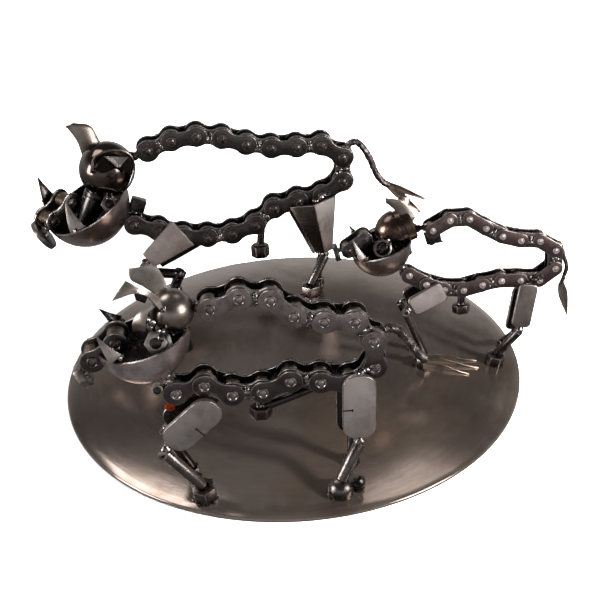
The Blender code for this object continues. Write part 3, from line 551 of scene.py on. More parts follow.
def add_block(bm, boar):
    """A small block of scrap between the last link and the jaw, with drops of weld round it."""
    end = boar.pins[-1]
    block = bmesh.new()
    bmesh.ops.create_cube(block, size=1.0, matrix=Matrix.Diagonal((*BLOCK_SIZE, 1)))
    ease(block, block.edges[:], BLOCK_EDGE)
    add(bm, mesh_of(block), move(*end + BLOCK_AT) @ turn(BLOCK_TILT, "Y"), DARK)
    for number in range(BLOCK_BEADS):
        draw = random.Random(number)
        spot = Vector((draw.uniform(-0.006, 0.006), draw.uniform(-0.006, 0.002), draw.uniform(0, 0.008)))
        bead(bm, end + spot, draw.uniform(0.0014, 0.0024), number * 0.6, rough=0.4, detail=2)


def add_broken_link(bm, boar):
    """What is left of a plate that was torn off under the first link."""
    chain = boar.chain
    flat = bmesh.new()
    flat.faces.new([flat.verts.new((x * MILLIMETRE, z * MILLIMETRE, 0.0)) for x, z in BROKEN_LINK])
    add(bm, mesh_of(thicken(flat, chain.inner_face - chain.inside / 2 - PLATE_AIR)),
        move(*boar.pins[0] - Vector((0, chain.inside / 2, 0))) @ SIDE_ON, DARK)


def make_chain(boar):
    chain, run = boar.chain, boar.pins
    # Each link's far plate takes the near-black finish: painted shade.
    outer, inner = ([link_plate(chain, lobe, face) for face in (FACE, DARK)]
                    for lobe in (chain.outer_lobe, chain.inner_lobe))
    thickness = chain.plate - PLATE_AIR
    head = pin_head(chain.pin)
    roller = roller_shape(chain.roller, chain.inside / 2 - PLATE_AIR)
    shank = turned([(0.0, -chain.inner_face), (chain.pin, -chain.inner_face), (chain.pin, chain.inner_face),
                    (0.0, chain.inner_face)], 12)
    bm = bmesh.new()
    for number, heading in enumerate(boar.headings):
        place = move(*run[number]) @ turn(-heading, "Y")
        plates, low = (outer, chain.inner_face) if boar.is_outer(number) else (inner, chain.inside / 2)
        for plate, height in zip(plates, (low + PLATE_AIR / 2, -low - PLATE_AIR / 2 - thickness)):
            add(bm, plate, place @ SIDE_ON @ move(z=height))
        if number in boar.welded:
            up = 1 if math.cos(math.radians(heading)) > -0.2 else -1
            link_weld(bm, chain, place, number * 5 + len(boar.name), up)
            link_weld(bm, chain, place @ move(chain.pitch) @ turn(180, "Z"), number * 5 + 2, up)
    for number, pin in enumerate(run):
        place = move(*pin) @ SIDE_ON
        in_outer = any(0 <= link < len(boar.headings) and boar.is_outer(link) for link in (number - 1, number))
        out = move(z=chain.outer_face if in_outer else chain.inner_face)
        add(bm, roller, place, ROLLER)
        add(bm, shank, place, PIN)
        add(bm, head, place @ out, PIN)
        add(bm, head, place @ turn(180, "X") @ out, PIN)
    {"front": add_belly_ring, "back": add_block, "small": add_broken_link}[boar.name](bm, boar)
    boar_piece(boar, "chain", bm, plate_steel[boar.name], "chain_body", more=(roller_steel, pin_steel[boar.name]))


for each in BOARS:
    make_chain(each)

# The bolts under the bellies: a short machine bolt or bent stub on each, welded up to the chain with its dark
# hexagonal head down.

BOLTS = {"front": dict(top=(0.80, -0.80), low=(-1.15, -1.52), shank=0.0024, radius=0.0064, height=0.0065),
         "back": dict(top=(0.97, -1.45), low=(0.83, -2.44), shank=0.0024, radius=0.0062, height=0.008),
         "small": dict(top=(-2.48, -1.75), low=(-2.55, -2.78), shank=0.0022, radius=0.0056, height=0.0055)}
BAR_EDGE, BOLT_HEAD_EDGE = 0.0003, 0.0009
BOLT_WELD = 0.0028


def bar(radius, length, sides=20):
    """A bar along Z with rounded ends."""
    bm = bmesh.new()
    bmesh.ops.create_cone(bm, cap_ends=True, segments=sides, radius1=radius, radius2=radius, depth=length,
                          matrix=move(z=length / 2))
    ease(bm, [e for e in bm.edges if rise(e) < length / 2], min(BAR_EDGE, radius * 0.4))
    outward(bm)
    return mesh_of(bm)


def make_bolt(boar):
    bolt = BOLTS[boar.name]
    start, end = boar.point(*bolt["top"]), boar.point(*bolt["low"])
    shank, radius, height = bolt["shank"], bolt["radius"], bolt["height"]
    bm = bmesh.new()
    add(bm, bar(shank, (end - start).length), towards(start, end))
    head = move(*end - Vector((0, 0, height * 0.7)))
    add(bm, nut_shape(radius, radius * 0.45, height, edge=BOLT_HEAD_EDGE), head)
    add(bm, bar(radius * 0.55, height * 0.86), head)
    bead(bm, end + Vector((0, 0, height * 0.2)), shank * 1.15, 8, rough=0.3)
    bead(bm, start, BOLT_WELD, 3, rough=0.4)
    boar_piece(boar, "belly_bolt", bm, black_and_shade_steel, None, edge=plate_steel["small"])


for each in BOARS:
    make_bolt(each)

# The skulls: solid steel balls, the back one polished nearly black and the front one satin. The small boar's is a
# domed cap nut with a collar. Each stands on a short round neck and is welded to the first pin of its chain.

SKULLS = {"front": dict(radius=0.0113, away=(0.0194, 187.0), neck=(-80.0, 0.005), weld=0.0028),
          "back": dict(radius=0.0176, away=(0.0284, 202.0), neck=(-118.0, 0.0075), weld=0.0028),
          "small": dict(radius=0.0105, away=(0.0205, 173.0), neck=(-77.0, 0.005), weld=0.0022)}
NECK_BEADS, NECK_BEAD = 7, 0.0015
CAP_TILT = -20
CAP_STRETCH = 1.22
COLLAR = ((0.98, -0.0012), (0.90, -0.0016), (0.90, -0.0042), (1.02, -0.0046), (1.02, -0.0084), (0.92, -0.0095),
          (0.0, -0.0100))

skull_steel = {
    # The satin ball is painted darker towards its bottom: painted shade.
    "front": shaded_below(steel("satin ball", (0.225, 0.188, 0.162), (0.120, 0.094, 0.078), 0.29, spread=0.14,
                          patches=70.0, bump=0.00003), 0.103, 0.120, 0.35),
    "back": steel("polished ball", (0.082, 0.060, 0.050), (0.045, 0.033, 0.028), 0.13, spread=0.10, patches=60.0,
                  grain=500.0, bump=0.00002, coat=0.2),
    "small": steel("cap nut steel", (0.125, 0.078, 0.060), (0.062, 0.040, 0.034), 0.19, spread=0.12, patches=90.0,
                   coat=0.2)}


def skull_centre(boar):
    distance, angle = SKULLS[boar.name]["away"]
    return boar.pins[0] + towards_heading(angle) * distance


def head_point(boar, share):
    """A place on the head, given in skull radii from the skull's centre."""
    return skull_centre(boar) + Vector(share) * SKULLS[boar.name]["radius"]


def head_line(boar, shares):
    return [head_point(boar, share) for share in shares]


def make_skull(boar):
    skull, jaw = SKULLS[boar.name], JAWS[boar.name]
    radius, centre = skull["radius"], skull_centre(boar)
    bm = bmesh.new()
    if boar is SMALL:
        arc = [(radius * math.sin(math.radians(a)), radius * CAP_STRETCH * math.cos(math.radians(a)))
               for a in range(0, 91, 9)]
        add(bm, turned(arc + [(radius * share, z) for share, z in COLLAR], 40),
            move(*centre) @ turn(CAP_TILT - 90, "Y"), FACE)
    else:
        bmesh.ops.create_uvsphere(bm, u_segments=56, v_segments=36, radius=radius, matrix=move(*centre))
    angle, thickness = skull["neck"]
    down = towards_heading(angle)
    reach = (head_point(boar, jaw["at"]) - centre).dot(down) + jaw["radius"] * 0.55
    add(bm, bar(thickness, reach, 32), towards(centre, centre + down), DARK)
    add(bm, bar(thickness * 1.06, radius * 0.2, 32), towards(centre + down * radius * 0.92, centre + down * radius),
        DARK)
    to_pin = boar.pins[0] - centre
    weld_run(bm, centre + to_pin * (radius * 0.96 / to_pin.length), boar.pins[0] + Vector((0, -0.001, 0.001)),
             skull["weld"], 4, 5)
    for number in range(NECK_BEADS):
        spot = centre + down * radius + towards_round(number / NECK_BEADS * math.tau) * thickness
        bead(bm, spot, NECK_BEAD, number + 0.3, 0.4, DARK, (1, 1, 0.8), 2)
    boar_piece(boar, "head_ball", bm, skull_steel[boar.name], "skull")


# The jaws: half balls pressed from 1.6 mm sheet, mouth up and dipped to the front, with a worn rim painted bright as a
# highlight, the inside painted near black as shade, and burnt brown-mauve steel below. A gob of weld joins each to the
# end of its chain.

JAWS = {"front": dict(radius=0.0246, at=(-1.48, 0.0, -1.23), pitch=12.0, roll=3.0, depth=88.0, weld=0.0030),
        "back": dict(radius=0.0280, at=(-0.92, 0.0, -1.17), pitch=25.5, roll=-9.0, depth=86.0, weld=0.0030),
        "small": dict(radius=0.0176, at=(-0.92, 0.0, -0.99), pitch=13.0, roll=0.0, depth=86.0, weld=0.0021)}
BOWL_WALL = 0.0016
BOWL_RINGS, BOWL_STEPS = 16, 64
RIM_BAND = 0.0002

bowl_steel = {name: steel(label, color, stain, 0.27, patches=60.0, grain=700.0, bump=0.00006, coat=0.25)
              for name, label, color, stain in (
                  ("front", "mauve bowl steel", (0.540, 0.456, 0.438), (0.260, 0.200, 0.188)),
                  ("back", "brown bowl steel", (0.300, 0.240, 0.222), (0.140, 0.104, 0.094)),
                  ("small", "dark bowl steel", (0.340, 0.275, 0.255), (0.160, 0.120, 0.110)))}


def make_jaw(boar):
    jaw = JAWS[boar.name]
    centre = head_point(boar, jaw["at"])
    radius, inner = jaw["radius"], jaw["radius"] - BOWL_WALL
    angles = [math.radians(jaw["depth"]) * k / BOWL_RINGS for k in range(BOWL_RINGS + 1)]
    outside = [(radius * math.sin(a), -radius * math.cos(a)) for a in angles]
    inside = [(inner * math.sin(a), -inner * math.cos(a)) for a in reversed(angles)]
    rim = outside[-1][1]
    bm = bmesh.new()
    profile_of(bm, outside + [((radius + inner) / 2, rim + BOWL_WALL * 0.25)] + inside)
    turn_round(bm, BOWL_STEPS)
    for face in bm.faces:
        middle = face.calc_center_median()
        # The rim band takes the edge finish, worn and painted bright as a highlight; the inside takes the near-black
        # finish as painted shade.
        if middle.z > rim - RIM_BAND:
            face.material_index = EDGE
        elif middle.length < radius - BOWL_WALL * 0.6:
            face.material_index = DARK
    bmesh.ops.transform(bm, matrix=move(*centre) @ turn(-jaw["pitch"], "Y") @ turn(-jaw["roll"], "X"), verts=bm.verts)
    end = boar.pins[-1]
    skin = centre + (end - centre).normalized() * radius
    size = jaw["weld"]
    weld_run(bm, skin, end, size, 9)
    weld_run(bm, skin + Vector((0, -size, size * 0.6)), end + Vector((0, -size, 0)), size * 0.8, 12, 5)
    boar_piece(boar, "bowl_jaw", bm, bowl_steel[boar.name], "jaw")


for each in BOARS:
    make_skull(each)
    make_jaw(each)

# The snouts: one more link of the same chain, two rollers between dark plates, set into the front of the bowl. A nut
# or flat ring on its end is the nose, and gobs of weld hold both.

SNOUTS = {"front": dict(at=(-3.79, 0.0, -2.05), heading=36.0, turn=0.0, nose_at=(-4.36, 0.0, -3.1), facing=-151.0,
                        nose=(0.0068, 0.0032, 0.005, 6)),
          "back": dict(at=(-2.24, -0.24, -1.56), heading=28.5, turn=38.0, nose_at=(-2.50, -0.30, -2.12),
                       facing=-145.0, nose=(0.0105, 0.0034, 0.0033, 24)),
          "small": dict(at=(-2.74, 0.0, -0.92), heading=32.0, turn=0.0, nose_at=(-3.38, 0.0, -1.08), facing=-168.0,
                        nose=(0.0054, 0.0026, 0.003, 6))}
NOSE = 6

nut_steel = steel("nut steel", (0.200, 0.172, 0.158), (0.085, 0.068, 0.061), 0.28, patches=160.0, coat=0.2)


def make_snout(boar):
    chain, snout = boar.chain, SNOUTS[boar.name]
    front = head_point(boar, snout["at"])
    place = move(*front) @ turn(snout["turn"], "Z") @ turn(-snout["heading"], "Y") @ SIDE_ON
    plate, head = link_plate(chain, chain.outer_lobe), pin_head(chain.pin)
    roller = roller_shape(chain.roller, chain.inner_face - PLATE_AIR)
    bm = bmesh.new()
    for height in (chain.inner_face + PLATE_AIR / 2, -chain.outer_face + PLATE_AIR / 2):
        add(bm, plate, place @ move(z=height))
    for x in (0.0, chain.pitch):
        spot = place @ move(x)
        add(bm, roller, spot, ROLLER)
        for side in (Matrix(), turn(180, "X")):
            add(bm, head, spot @ side @ move(z=chain.outer_face), PIN)
    radius, _, height, _ = snout["nose"]
    nose = head_point(boar, snout["nose_at"])
    facing = towards_heading(snout["facing"])
    add(bm, nut_shape(*snout["nose"]), towards(nose - facing * height / 2, nose), NOSE)
    size = chain.pitch * 0.12
    behind = nose - facing * height * 0.6
    weld_run(bm, behind + Vector((0, -radius * 0.4, radius * 0.3)),
             front + Vector((0, -chain.inner_face * 0.8, -chain.roller * 0.3)), size, 21, 4)
    weld_run(bm, behind + Vector((0, radius * 0.4, 0)), front + Vector((0, chain.inner_face * 0.5, 0)), size, 27, 3)
    boar_piece(boar, "snout_link", bm, plate_steel["back"], "snout",
               more=(roller_steel, pin_steel["back"], nut_steel))


for each in BOARS:
    make_snout(each)

# The eyes: hexagonal nuts on edge beside each cheek, held by thick shiny stems of weld. The small boar's are thin
# rings with the rough end of a bolt inside.

EYES = {"front": dict(at=(-0.80, -1.24, -0.85), nut=(0.0061, 0.0031, 0.0045, 6), weld=0.0021),
        "back": dict(at=(-0.03, -0.70, -1.04), nut=(0.0056, 0.0028, 0.0045, 6), weld=0.0021),
        "small": dict(at=(-0.98, -1.08, -0.75), nut=(0.0053, 0.0040, 0.0030, 24), weld=0.0015)}
EYE_TILT = math.radians(18)
EYE_STRING = ((-1.05, -1.1, -0.20), (-0.98, -1.15, 0.30), (-0.62, -0.98, -0.40), (-0.70, -1.15, -0.55))
EYE_STRING_BEAD = 0.0015

eye_steel = steel("bright nut", (0.360, 0.325, 0.310), (0.200, 0.170, 0.158), 0.34, patches=160.0)


def make_eye(boar, side, label):
    eye = EYES[boar.name]
    radius, hole, height, sides = eye["nut"]
    at = head_point(boar, Vector(eye["at"]) * Vector((1, side, 1)))
    facing = Vector((0.0, -side * math.cos(EYE_TILT), math.sin(EYE_TILT)))
    place = towards(at - facing * height / 2, at + facing)
    bm = bmesh.new()
    add(bm, nut_shape(radius, hole, height, sides), place, FACE)
    if boar is SMALL:
        bead(bm, at, hole * 0.85, 5, 0.4, DARK, (1, 0.6, 1))
    else:
        add(bm, bar(hole * 0.98, height * 0.7), place, DARK)
    centre = skull_centre(boar)
    inwards = (centre - at).normalized()
    rim = at + Vector((inwards.x, 0, inwards.z)).normalized() * (radius + hole) / 2
    skin = centre - inwards * SKULLS[boar.name]["radius"] * 0.92
    weld_run(bm, rim, skin, eye["weld"], 33 + side, 5)
    if boar is FRONT and side < 0:
        string = head_line(boar, EYE_STRING)
        for one, two in zip(string, string[1:]):
            weld_run(bm, one, two, EYE_STRING_BEAD, 83, 5)
    boar_piece(boar, f"nut_eye_{label}", bm, eye_steel if boar is FRONT else nut_steel, f"eye_{label}")


# The tusks: spikes of three-sided bar, ground to a point and bent a little. They stand on the jaw's rim in weld; the
# near spike is ground bright, and the far one is painted near black as shade.

TUSKS = {"front": dict(tips=((-3.36, -1.42, -0.15), (-3.36, 1.06, -0.26)),
                       roots=((-2.62, -1.62, -1.30), (-2.66, 1.20, -1.10)), radius=0.0046),
         "back": dict(tips=((-1.52, -0.91, -0.70), (-2.52, 0.80, -0.31)),
                      roots=((-1.16, -1.15, -1.77), (-2.25, 0.80, -1.30)), radius=0.0064),
         "small": dict(tips=((-2.59, -0.95, -0.08), (-2.49, 0.76, 0.12)),
                       roots=((-2.10, -1.05, -1.30), (-2.20, 0.80, -0.55)), radius=0.0030)}
TUSK_BEND = 0.08
TUSK_TIP, TUSK_EDGE = 0.0004, 0.0003

ground_steel = steel("ground steel", (0.320, 0.285, 0.265), (0.170, 0.140, 0.128), 0.34, patches=90.0, grain=900.0,
                     bump=0.00008)


def make_tusk(boar, number, label):
    tusk = TUSKS[boar.name]
    root, tip = head_point(boar, tusk["roots"][number]), head_point(boar, tusk["tips"][number])
    length = (tip - root).length
    bm = bmesh.new()
    bmesh.ops.create_cone(bm, cap_ends=True, segments=3, radius1=tusk["radius"], radius2=TUSK_TIP, depth=length,
                          matrix=move(z=length / 2))
    bmesh.ops.subdivide_edges(bm, edges=[e for e in bm.edges if rise(e) > length / 2], cuts=8, use_grid_fill=True)
    ease(bm, [e for e in bm.edges if e.calc_face_angle(0) > 1.0], TUSK_EDGE)
    for vert in bm.verts:
        share = vert.co.z / length
        vert.co.x += TUSK_BEND * length * (4 * share * (1 - share))
    bmesh.ops.transform(bm, matrix=towards(root, tip), verts=bm.verts)
    weld_run(bm, root + Vector((-0.002, 0, 0.001)), root + Vector((0.003, 0, 0.0)), tusk["radius"] * 0.42,
             41 + number, 4)
    # The far spike takes the near-black finish: painted shade.
    boar_piece(boar, f"spike_{label}", bm, ground_steel if number == 0 else black_and_shade_steel, f"tusk_{label}")


# The ears: leaves of 1 mm sheet, cut with snips and bent. The back boar's far ear is a curled petal; its near one is
# folded over to a hood with a pale drooping tip, and a near-black sheet under the hood paints the shade in its hollow.
# The front boar's near ear is a strip rolled to the front, with a leaf of scrap over the brow.

EARS = {"front": ((((-0.37, -0.82, 0.59), (-0.48, -0.90, 0.60)), ((-0.44, -0.75, 1.05), (-0.78, -1.00, 1.15)),
                   ((-0.87, -0.95, 1.66), (-1.08, -1.15, 1.60)), ((-1.45, -1.10, 2.09), (-1.55, -1.25, 1.75)),
                   ((-1.80, -1.24, 2.41), (-2.49, -1.30, 1.49))),
                  (((-0.70, 0.50, 0.66), (-0.15, 0.50, 0.80)), ((-1.25, 0.60, 1.08), (-0.20, 0.60, 1.25)),
                   ((-1.73, 0.65, 1.42), (-0.46, 0.65, 1.87)), ((-1.75, 0.70, 1.96), (-0.78, 0.70, 2.09)))),
        "back": ((((-0.52, -0.78, 0.15), (-0.42, -1.04, 0.38)), ((-0.30, -0.72, 0.62), (-0.30, -1.08, 0.86)),
                  ((0.30, -0.60, 0.74), (0.30, -1.06, 1.02)), ((0.70, -0.52, 0.48), (0.80, -1.02, 0.86)),
                  ((0.88, -0.45, 0.05), (0.97, -0.92, 0.36)), ((0.72, -0.60, -0.36), (0.68, -0.88, -0.38))),
                 (((-0.79, 0.30, 0.25), (-0.01, 0.60, 0.55)), ((-0.95, 0.50, 0.94), (-0.18, 0.65, 0.92)),
                  ((-1.21, 0.60, 1.40), (-0.43, 0.70, 1.44)), ((-1.31, 0.62, 1.48), (-1.01, 0.70, 1.60)))),
        "small": ((((0.60, -0.55, 0.47), (0.98, -0.45, 0.62)), ((-0.06, -0.55, 1.14), (0.41, -0.50, 1.62)),
                   ((-0.57, -0.50, 1.72), (-0.62, -0.50, 1.93))),
                  (((0.05, 0.45, 0.70), (0.60, 0.45, 0.50)), ((0.15, 0.60, 1.25), (0.80, 0.60, 0.90)),
                   ((0.40, 0.70, 1.55), (0.95, 0.75, 1.35))))}
EAR_DROOP = ((-0.02, -1.08, 0.88), (0.82, -1.06, 0.75), (0.45, -1.22, 0.45))
EAR_HOLLOW = (((-0.32, -1.00, 0.42), (-0.16, -1.02, 0.76), (0.12, -1.02, 0.84), (0.46, -1.02, 0.82),
               (0.78, -1.00, 0.76), (0.92, -0.98, 0.59), (0.96, -0.95, 0.30)),
              ((-0.28, -0.99, 0.30), (-0.12, -1.02, 0.23), (0.13, -1.04, 0.31), (0.36, -1.05, 0.36),
               (0.56, -1.05, 0.29), (0.72, -1.02, 0.12), (0.87, -0.97, 0.05)))
# The first leaf is near black: a sheet of painted shade under the rolled ear.
FRONT_SCRAPS = ((((-1.52, -1.18, 1.84), (-0.92, -1.04, 1.50)), ((-1.48, -1.05, 1.30), (-1.10, -0.98, 1.05)), DARK),
                (((-0.93, -0.20, 0.59), (-1.51, -0.20, 0.17), (-1.84, -0.20, -0.38), (-1.85, -0.20, -0.91)),
                 ((-0.72, -0.85, 0.85), (-1.02, -0.90, 0.55), (-1.18, -0.90, 0.05), (-1.28, -0.80, -0.55)), FACE))
EAR_SHEET = 0.001
EAR_CROWN, SCRAP_CROWN = 0.10, 0.12
EAR_WELD, EAR_BEAD = 0.0013, 0.0016
PALE, SHADOW_SHEET = 4, 5

# Near-black finish for the sheet in the hood's hollow: painted shade.
painted_shade = steel("sooty hollow", (0.012, 0.010, 0.009), (0.006, 0.005, 0.005), 0.50, patches=140.0)
pale_steel = steel("pale sheet", (0.400, 0.355, 0.330), (0.260, 0.220, 0.198), 0.32, patches=80.0)
ear_steel = steel("cut sheet steel", (0.215, 0.182, 0.162), (0.110, 0.084, 0.070), 0.28, patches=60.0, grain=800.0,
                  bump=0.00005, coat=0.1)
front_ear_steel = {"near": steel("lighter sheet steel", (0.310, 0.262, 0.230), (0.160, 0.125, 0.105), 0.28,
                                 patches=60.0, grain=800.0, bump=0.00005),
                   "far": pale_steel}


def along_curve(points, share):
    """A point along a smooth curve through the given ones, at a share of its length."""
    spans = len(points) - 1
    number = min(int(share * spans), spans - 1)
    t = share * spans - number
    a, b = points[number], points[number + 1]
    before = points[number - 1] if number else a * 2 - b
    after = points[number + 2] if number + 2 <= spans else b * 2 - a
    return 0.5 * (2 * a + (b - before) * t + (2 * before - 5 * a + 4 * b - after) * t * t
                  + (3 * a - before - 3 * b + after) * t ** 3)


def sheet(one_edge, other_edge, crown, thickness, length_steps=14, width_steps=6):
    """A leaf of sheet between two curved edges, crowned across, with its edges eased."""
    bm = bmesh.new()
    bmesh.ops.create_grid(bm, x_segments=length_steps, y_segments=width_steps, size=0.5)
    width = (one_edge[0] - other_edge[0]).length
    for vert in bm.verts:
        along, across = vert.co.x + 0.5, vert.co.y + 0.5
        a, b = along_curve(one_edge, along), along_curve(other_edge, along)
        ahead = along_curve(one_edge, min(along + 0.02, 1.0)) - along_curve(one_edge, max(along - 0.02, 0.0))
        out = (b - a).cross(ahead)
        out = out.normalized() if out.length > 0 else Vector((0, 0, 1))
        vert.co = a.lerp(b, across) + out * crown * width * (1 - (2 * across - 1) ** 2)
    bmesh.ops.recalc_face_normals(bm, faces=bm.faces)
    bmesh.ops.solidify(bm, geom=bm.faces[:], thickness=thickness)
    outward(bm)
    ease(bm, [e for e in bm.edges if e.calc_face_angle(0) > 1.0], thickness * 0.3)
    return mesh_of(bm)


def make_ear(boar, number, label):
    one, other = (head_line(boar, edge) for edge in zip(*EARS[boar.name][number]))
    bm = bmesh.new()
    add(bm, sheet(one, other, EAR_CROWN, EAR_SHEET))
    if boar is BACK and number == 0:
        left, right, tip = head_line(boar, EAR_DROOP)
        add(bm, sheet([left, tip.lerp(left, 0.05)], [right, tip.lerp(right, 0.05)], 0.05, EAR_SHEET * 0.6, 8, 8),
            material=PALE)
        # A near-black sheet fills the hollow under the hood: painted shade.
        add(bm, sheet(*(head_line(boar, line) for line in EAR_HOLLOW), 0.02, EAR_SHEET * 0.5, 16), material=SHADOW_SHEET)
    if boar is FRONT and number == 0:
        for line, other_line, material in FRONT_SCRAPS:
            add(bm, sheet(head_line(boar, line), head_line(boar, other_line), SCRAP_CROWN, EAR_SHEET, 16),
                material=material)
    centre = skull_centre(boar)
    weld_run(bm, one[0].lerp(centre, 0.1), other[0].lerp(centre, 0.1), EAR_WELD, 51 + number, 5)
    bead(bm, ((one[0] + other[0]) / 2).lerp(centre, 0.1), EAR_BEAD, 6, rough=0.5, detail=2)
    boar_piece(boar, f"leaf_ear_{label}", bm, front_ear_steel[label] if boar is FRONT else ear_steel, f"ear_{label}",
               more=(pale_steel, painted_shade))


for each in BOARS:
    for number, (side, label) in enumerate(((1, "near"), (-1, "far"))):
        make_eye(each, side, label)
        make_tusk(each, number, label)
        make_ear(each, number, label)

# The thighs: flat plates with rounded ends, satin on their faces and dark on their cut edges; the far ones are painted
# near black as shade. The front boar's near ones have a saw slot, and a spot of red rust shows on one far one. The
# back boar's rear ones are creased sheet.

LEGS = {"front": {"rear": dict(top=(2.15, -0.12), bottom=(2.09, -2.67), widths=(1.13, 1.13), corner=0.0078,
                               plate=0.003, foot=(1.37, -0.90), foot_far=(1.85, 0.43), far=(-0.14, -0.50)),
                  "fore": dict(top=(-2.61, -0.81), bottom=(-4.30, -2.36), widths=(1.13, 1.13), corner=0.0078,
                               plate=0.003, foot=(-3.26, -0.52), foot_far=(-3.66, 0.61), far=(0.00, 0.05))},
        "back": {"rear": dict(top=(3.05, -0.45), bottom=(3.39, -2.66), widths=(1.90, 0.70), corner=0.0006,
                              fold=0.007, plate=0.0016, foot=(2.72, -1.31), foot_far=(3.12, -0.30),
                              far=(-0.05, -0.45)),
                 "fore": dict(top=(-2.22, -1.21), bottom=(-3.70, -2.26), widths=(1.38, 0.73), corner=0.0006,
                              plate=0.0024, foot=(-3.20, -0.55), foot_far=(-2.72, 0.47),
                              far=(0.30, -0.50), bends_far=((-3.55, -3.27), (-2.52, -3.45)))},
        "small": {"rear": dict(top=(0.91, -1.71), bottom=(0.39, -4.05), widths=(1.02, 1.02), corner=0.003,
                               plate=0.0024, foot=(-0.76, -0.62), foot_far=(0.10, 1.10), far=(-0.05, -0.65)),
                  "fore": dict(top=(-3.53, -1.54), bottom=(-5.26, -2.34), widths=(1.15, 1.05), corner=0.003,
                               plate=0.0024, foot=(-4.58, -0.90), foot_far=(-4.58, 0.38),
                               far=(-0.10, 0.00))}}
GAP = 0.0003
SLOTS = {"rear": (0.53, -0.42, -0.98), "fore": (0.50, 0.30, 0.96)}
SLOT_DEPTH, SLOT_WIDTH, SLOT_END_WIDTH = 0.0004, 0.0007, 0.0016
THIGH_EDGE = {"front": 0.0005, "back": 0.0005, "small": 0.0009}
THIGH_WELD = 0.0017
RUST_AT, RUST_SIZE = (-0.0664, 0.0072, -0.0237), 0.0029
RUST, SHADED = 4, 5

thigh_steel = steel("satin plate steel", (0.530, 0.465, 0.440), (0.330, 0.275, 0.254), 0.44, spread=0.16,
                    patches=46.0, grain=1100.0, coat=0.1)
dull_thigh = steel("dull plate steel", (0.360, 0.315, 0.298), (0.210, 0.176, 0.162), 0.44, spread=0.16, patches=60.0,
                   grain=1400.0, bump=0.00006)
grey_thigh = steel("grey plate steel", (0.190, 0.163, 0.150), (0.115, 0.094, 0.086), 0.38, spread=0.16, patches=60.0,
                   grain=1400.0, bump=0.00006)
thigh_edge = steel("cut plate edge", (0.30, 0.265, 0.25), (0.13, 0.108, 0.10), 0.34, patches=160.0)
rust = steel("red rust", (0.62, 0.10, 0.025), (0.30, 0.050, 0.016), 0.45, patches=300.0)
DULL_THIGHS = {("front", "fore"): dull_thigh, ("back", "rear"): dull_thigh, ("small", "rear"): grey_thigh}


def thigh_outline(length, half_top, half_bottom, corner):
    """A leg plate's outline: two ends of their own widths with rounded corners."""
    bm = bmesh.new()
    bm.faces.new([bm.verts.new((x, y, 0.0)) for x, y in ((0, half_top), (0, -half_top), (length, -half_bottom),
                                                         (length, half_bottom))])
    bmesh.ops.bevel(bm, geom=bm.verts[:], offset=corner, segments=6, profile=0.5, affect="VERTICES", material=-1,
                    clamp_overlap=True, offset_type="OFFSET")
    return bm


def creased(half_top, half_bottom, length, fold, thickness, side):
    """A wedge of sheet creased down its middle, the crease standing out from the body, one of its halves painted
    darker as shade.
    """
    bm = bmesh.new()
    rows = ((0.0, half_top, 0.0), (0.0, 0.0, fold), (0.0, -half_top, 0.0),
            (length, half_bottom, 0.0), (length, 0.0, fold * 0.35), (length, -half_bottom, 0.0))
    verts = [bm.verts.new((x, y, -side * z)) for x, y, z in rows]
    bm.faces.new((verts[0], verts[1], verts[4], verts[3]))
    # This half takes the darker finish: painted shade.
    bm.faces.new((verts[1], verts[2], verts[5], verts[4])).material_index = SHADED
    bmesh.ops.recalc_face_normals(bm, faces=bm.faces)
    bmesh.ops.solidify(bm, geom=bm.faces[:], thickness=thickness)
    lowest = min(v.co.z * -side for v in bm.verts)
    bmesh.ops.translate(bm, verts=bm.verts, vec=(0, 0, side * (lowest + thickness / 2)))
    outward(bm)
    ease(bm, [e for e in bm.edges if e.calc_face_angle(0) > math.radians(25)], thickness * 0.22)
    return mesh_of(bm)


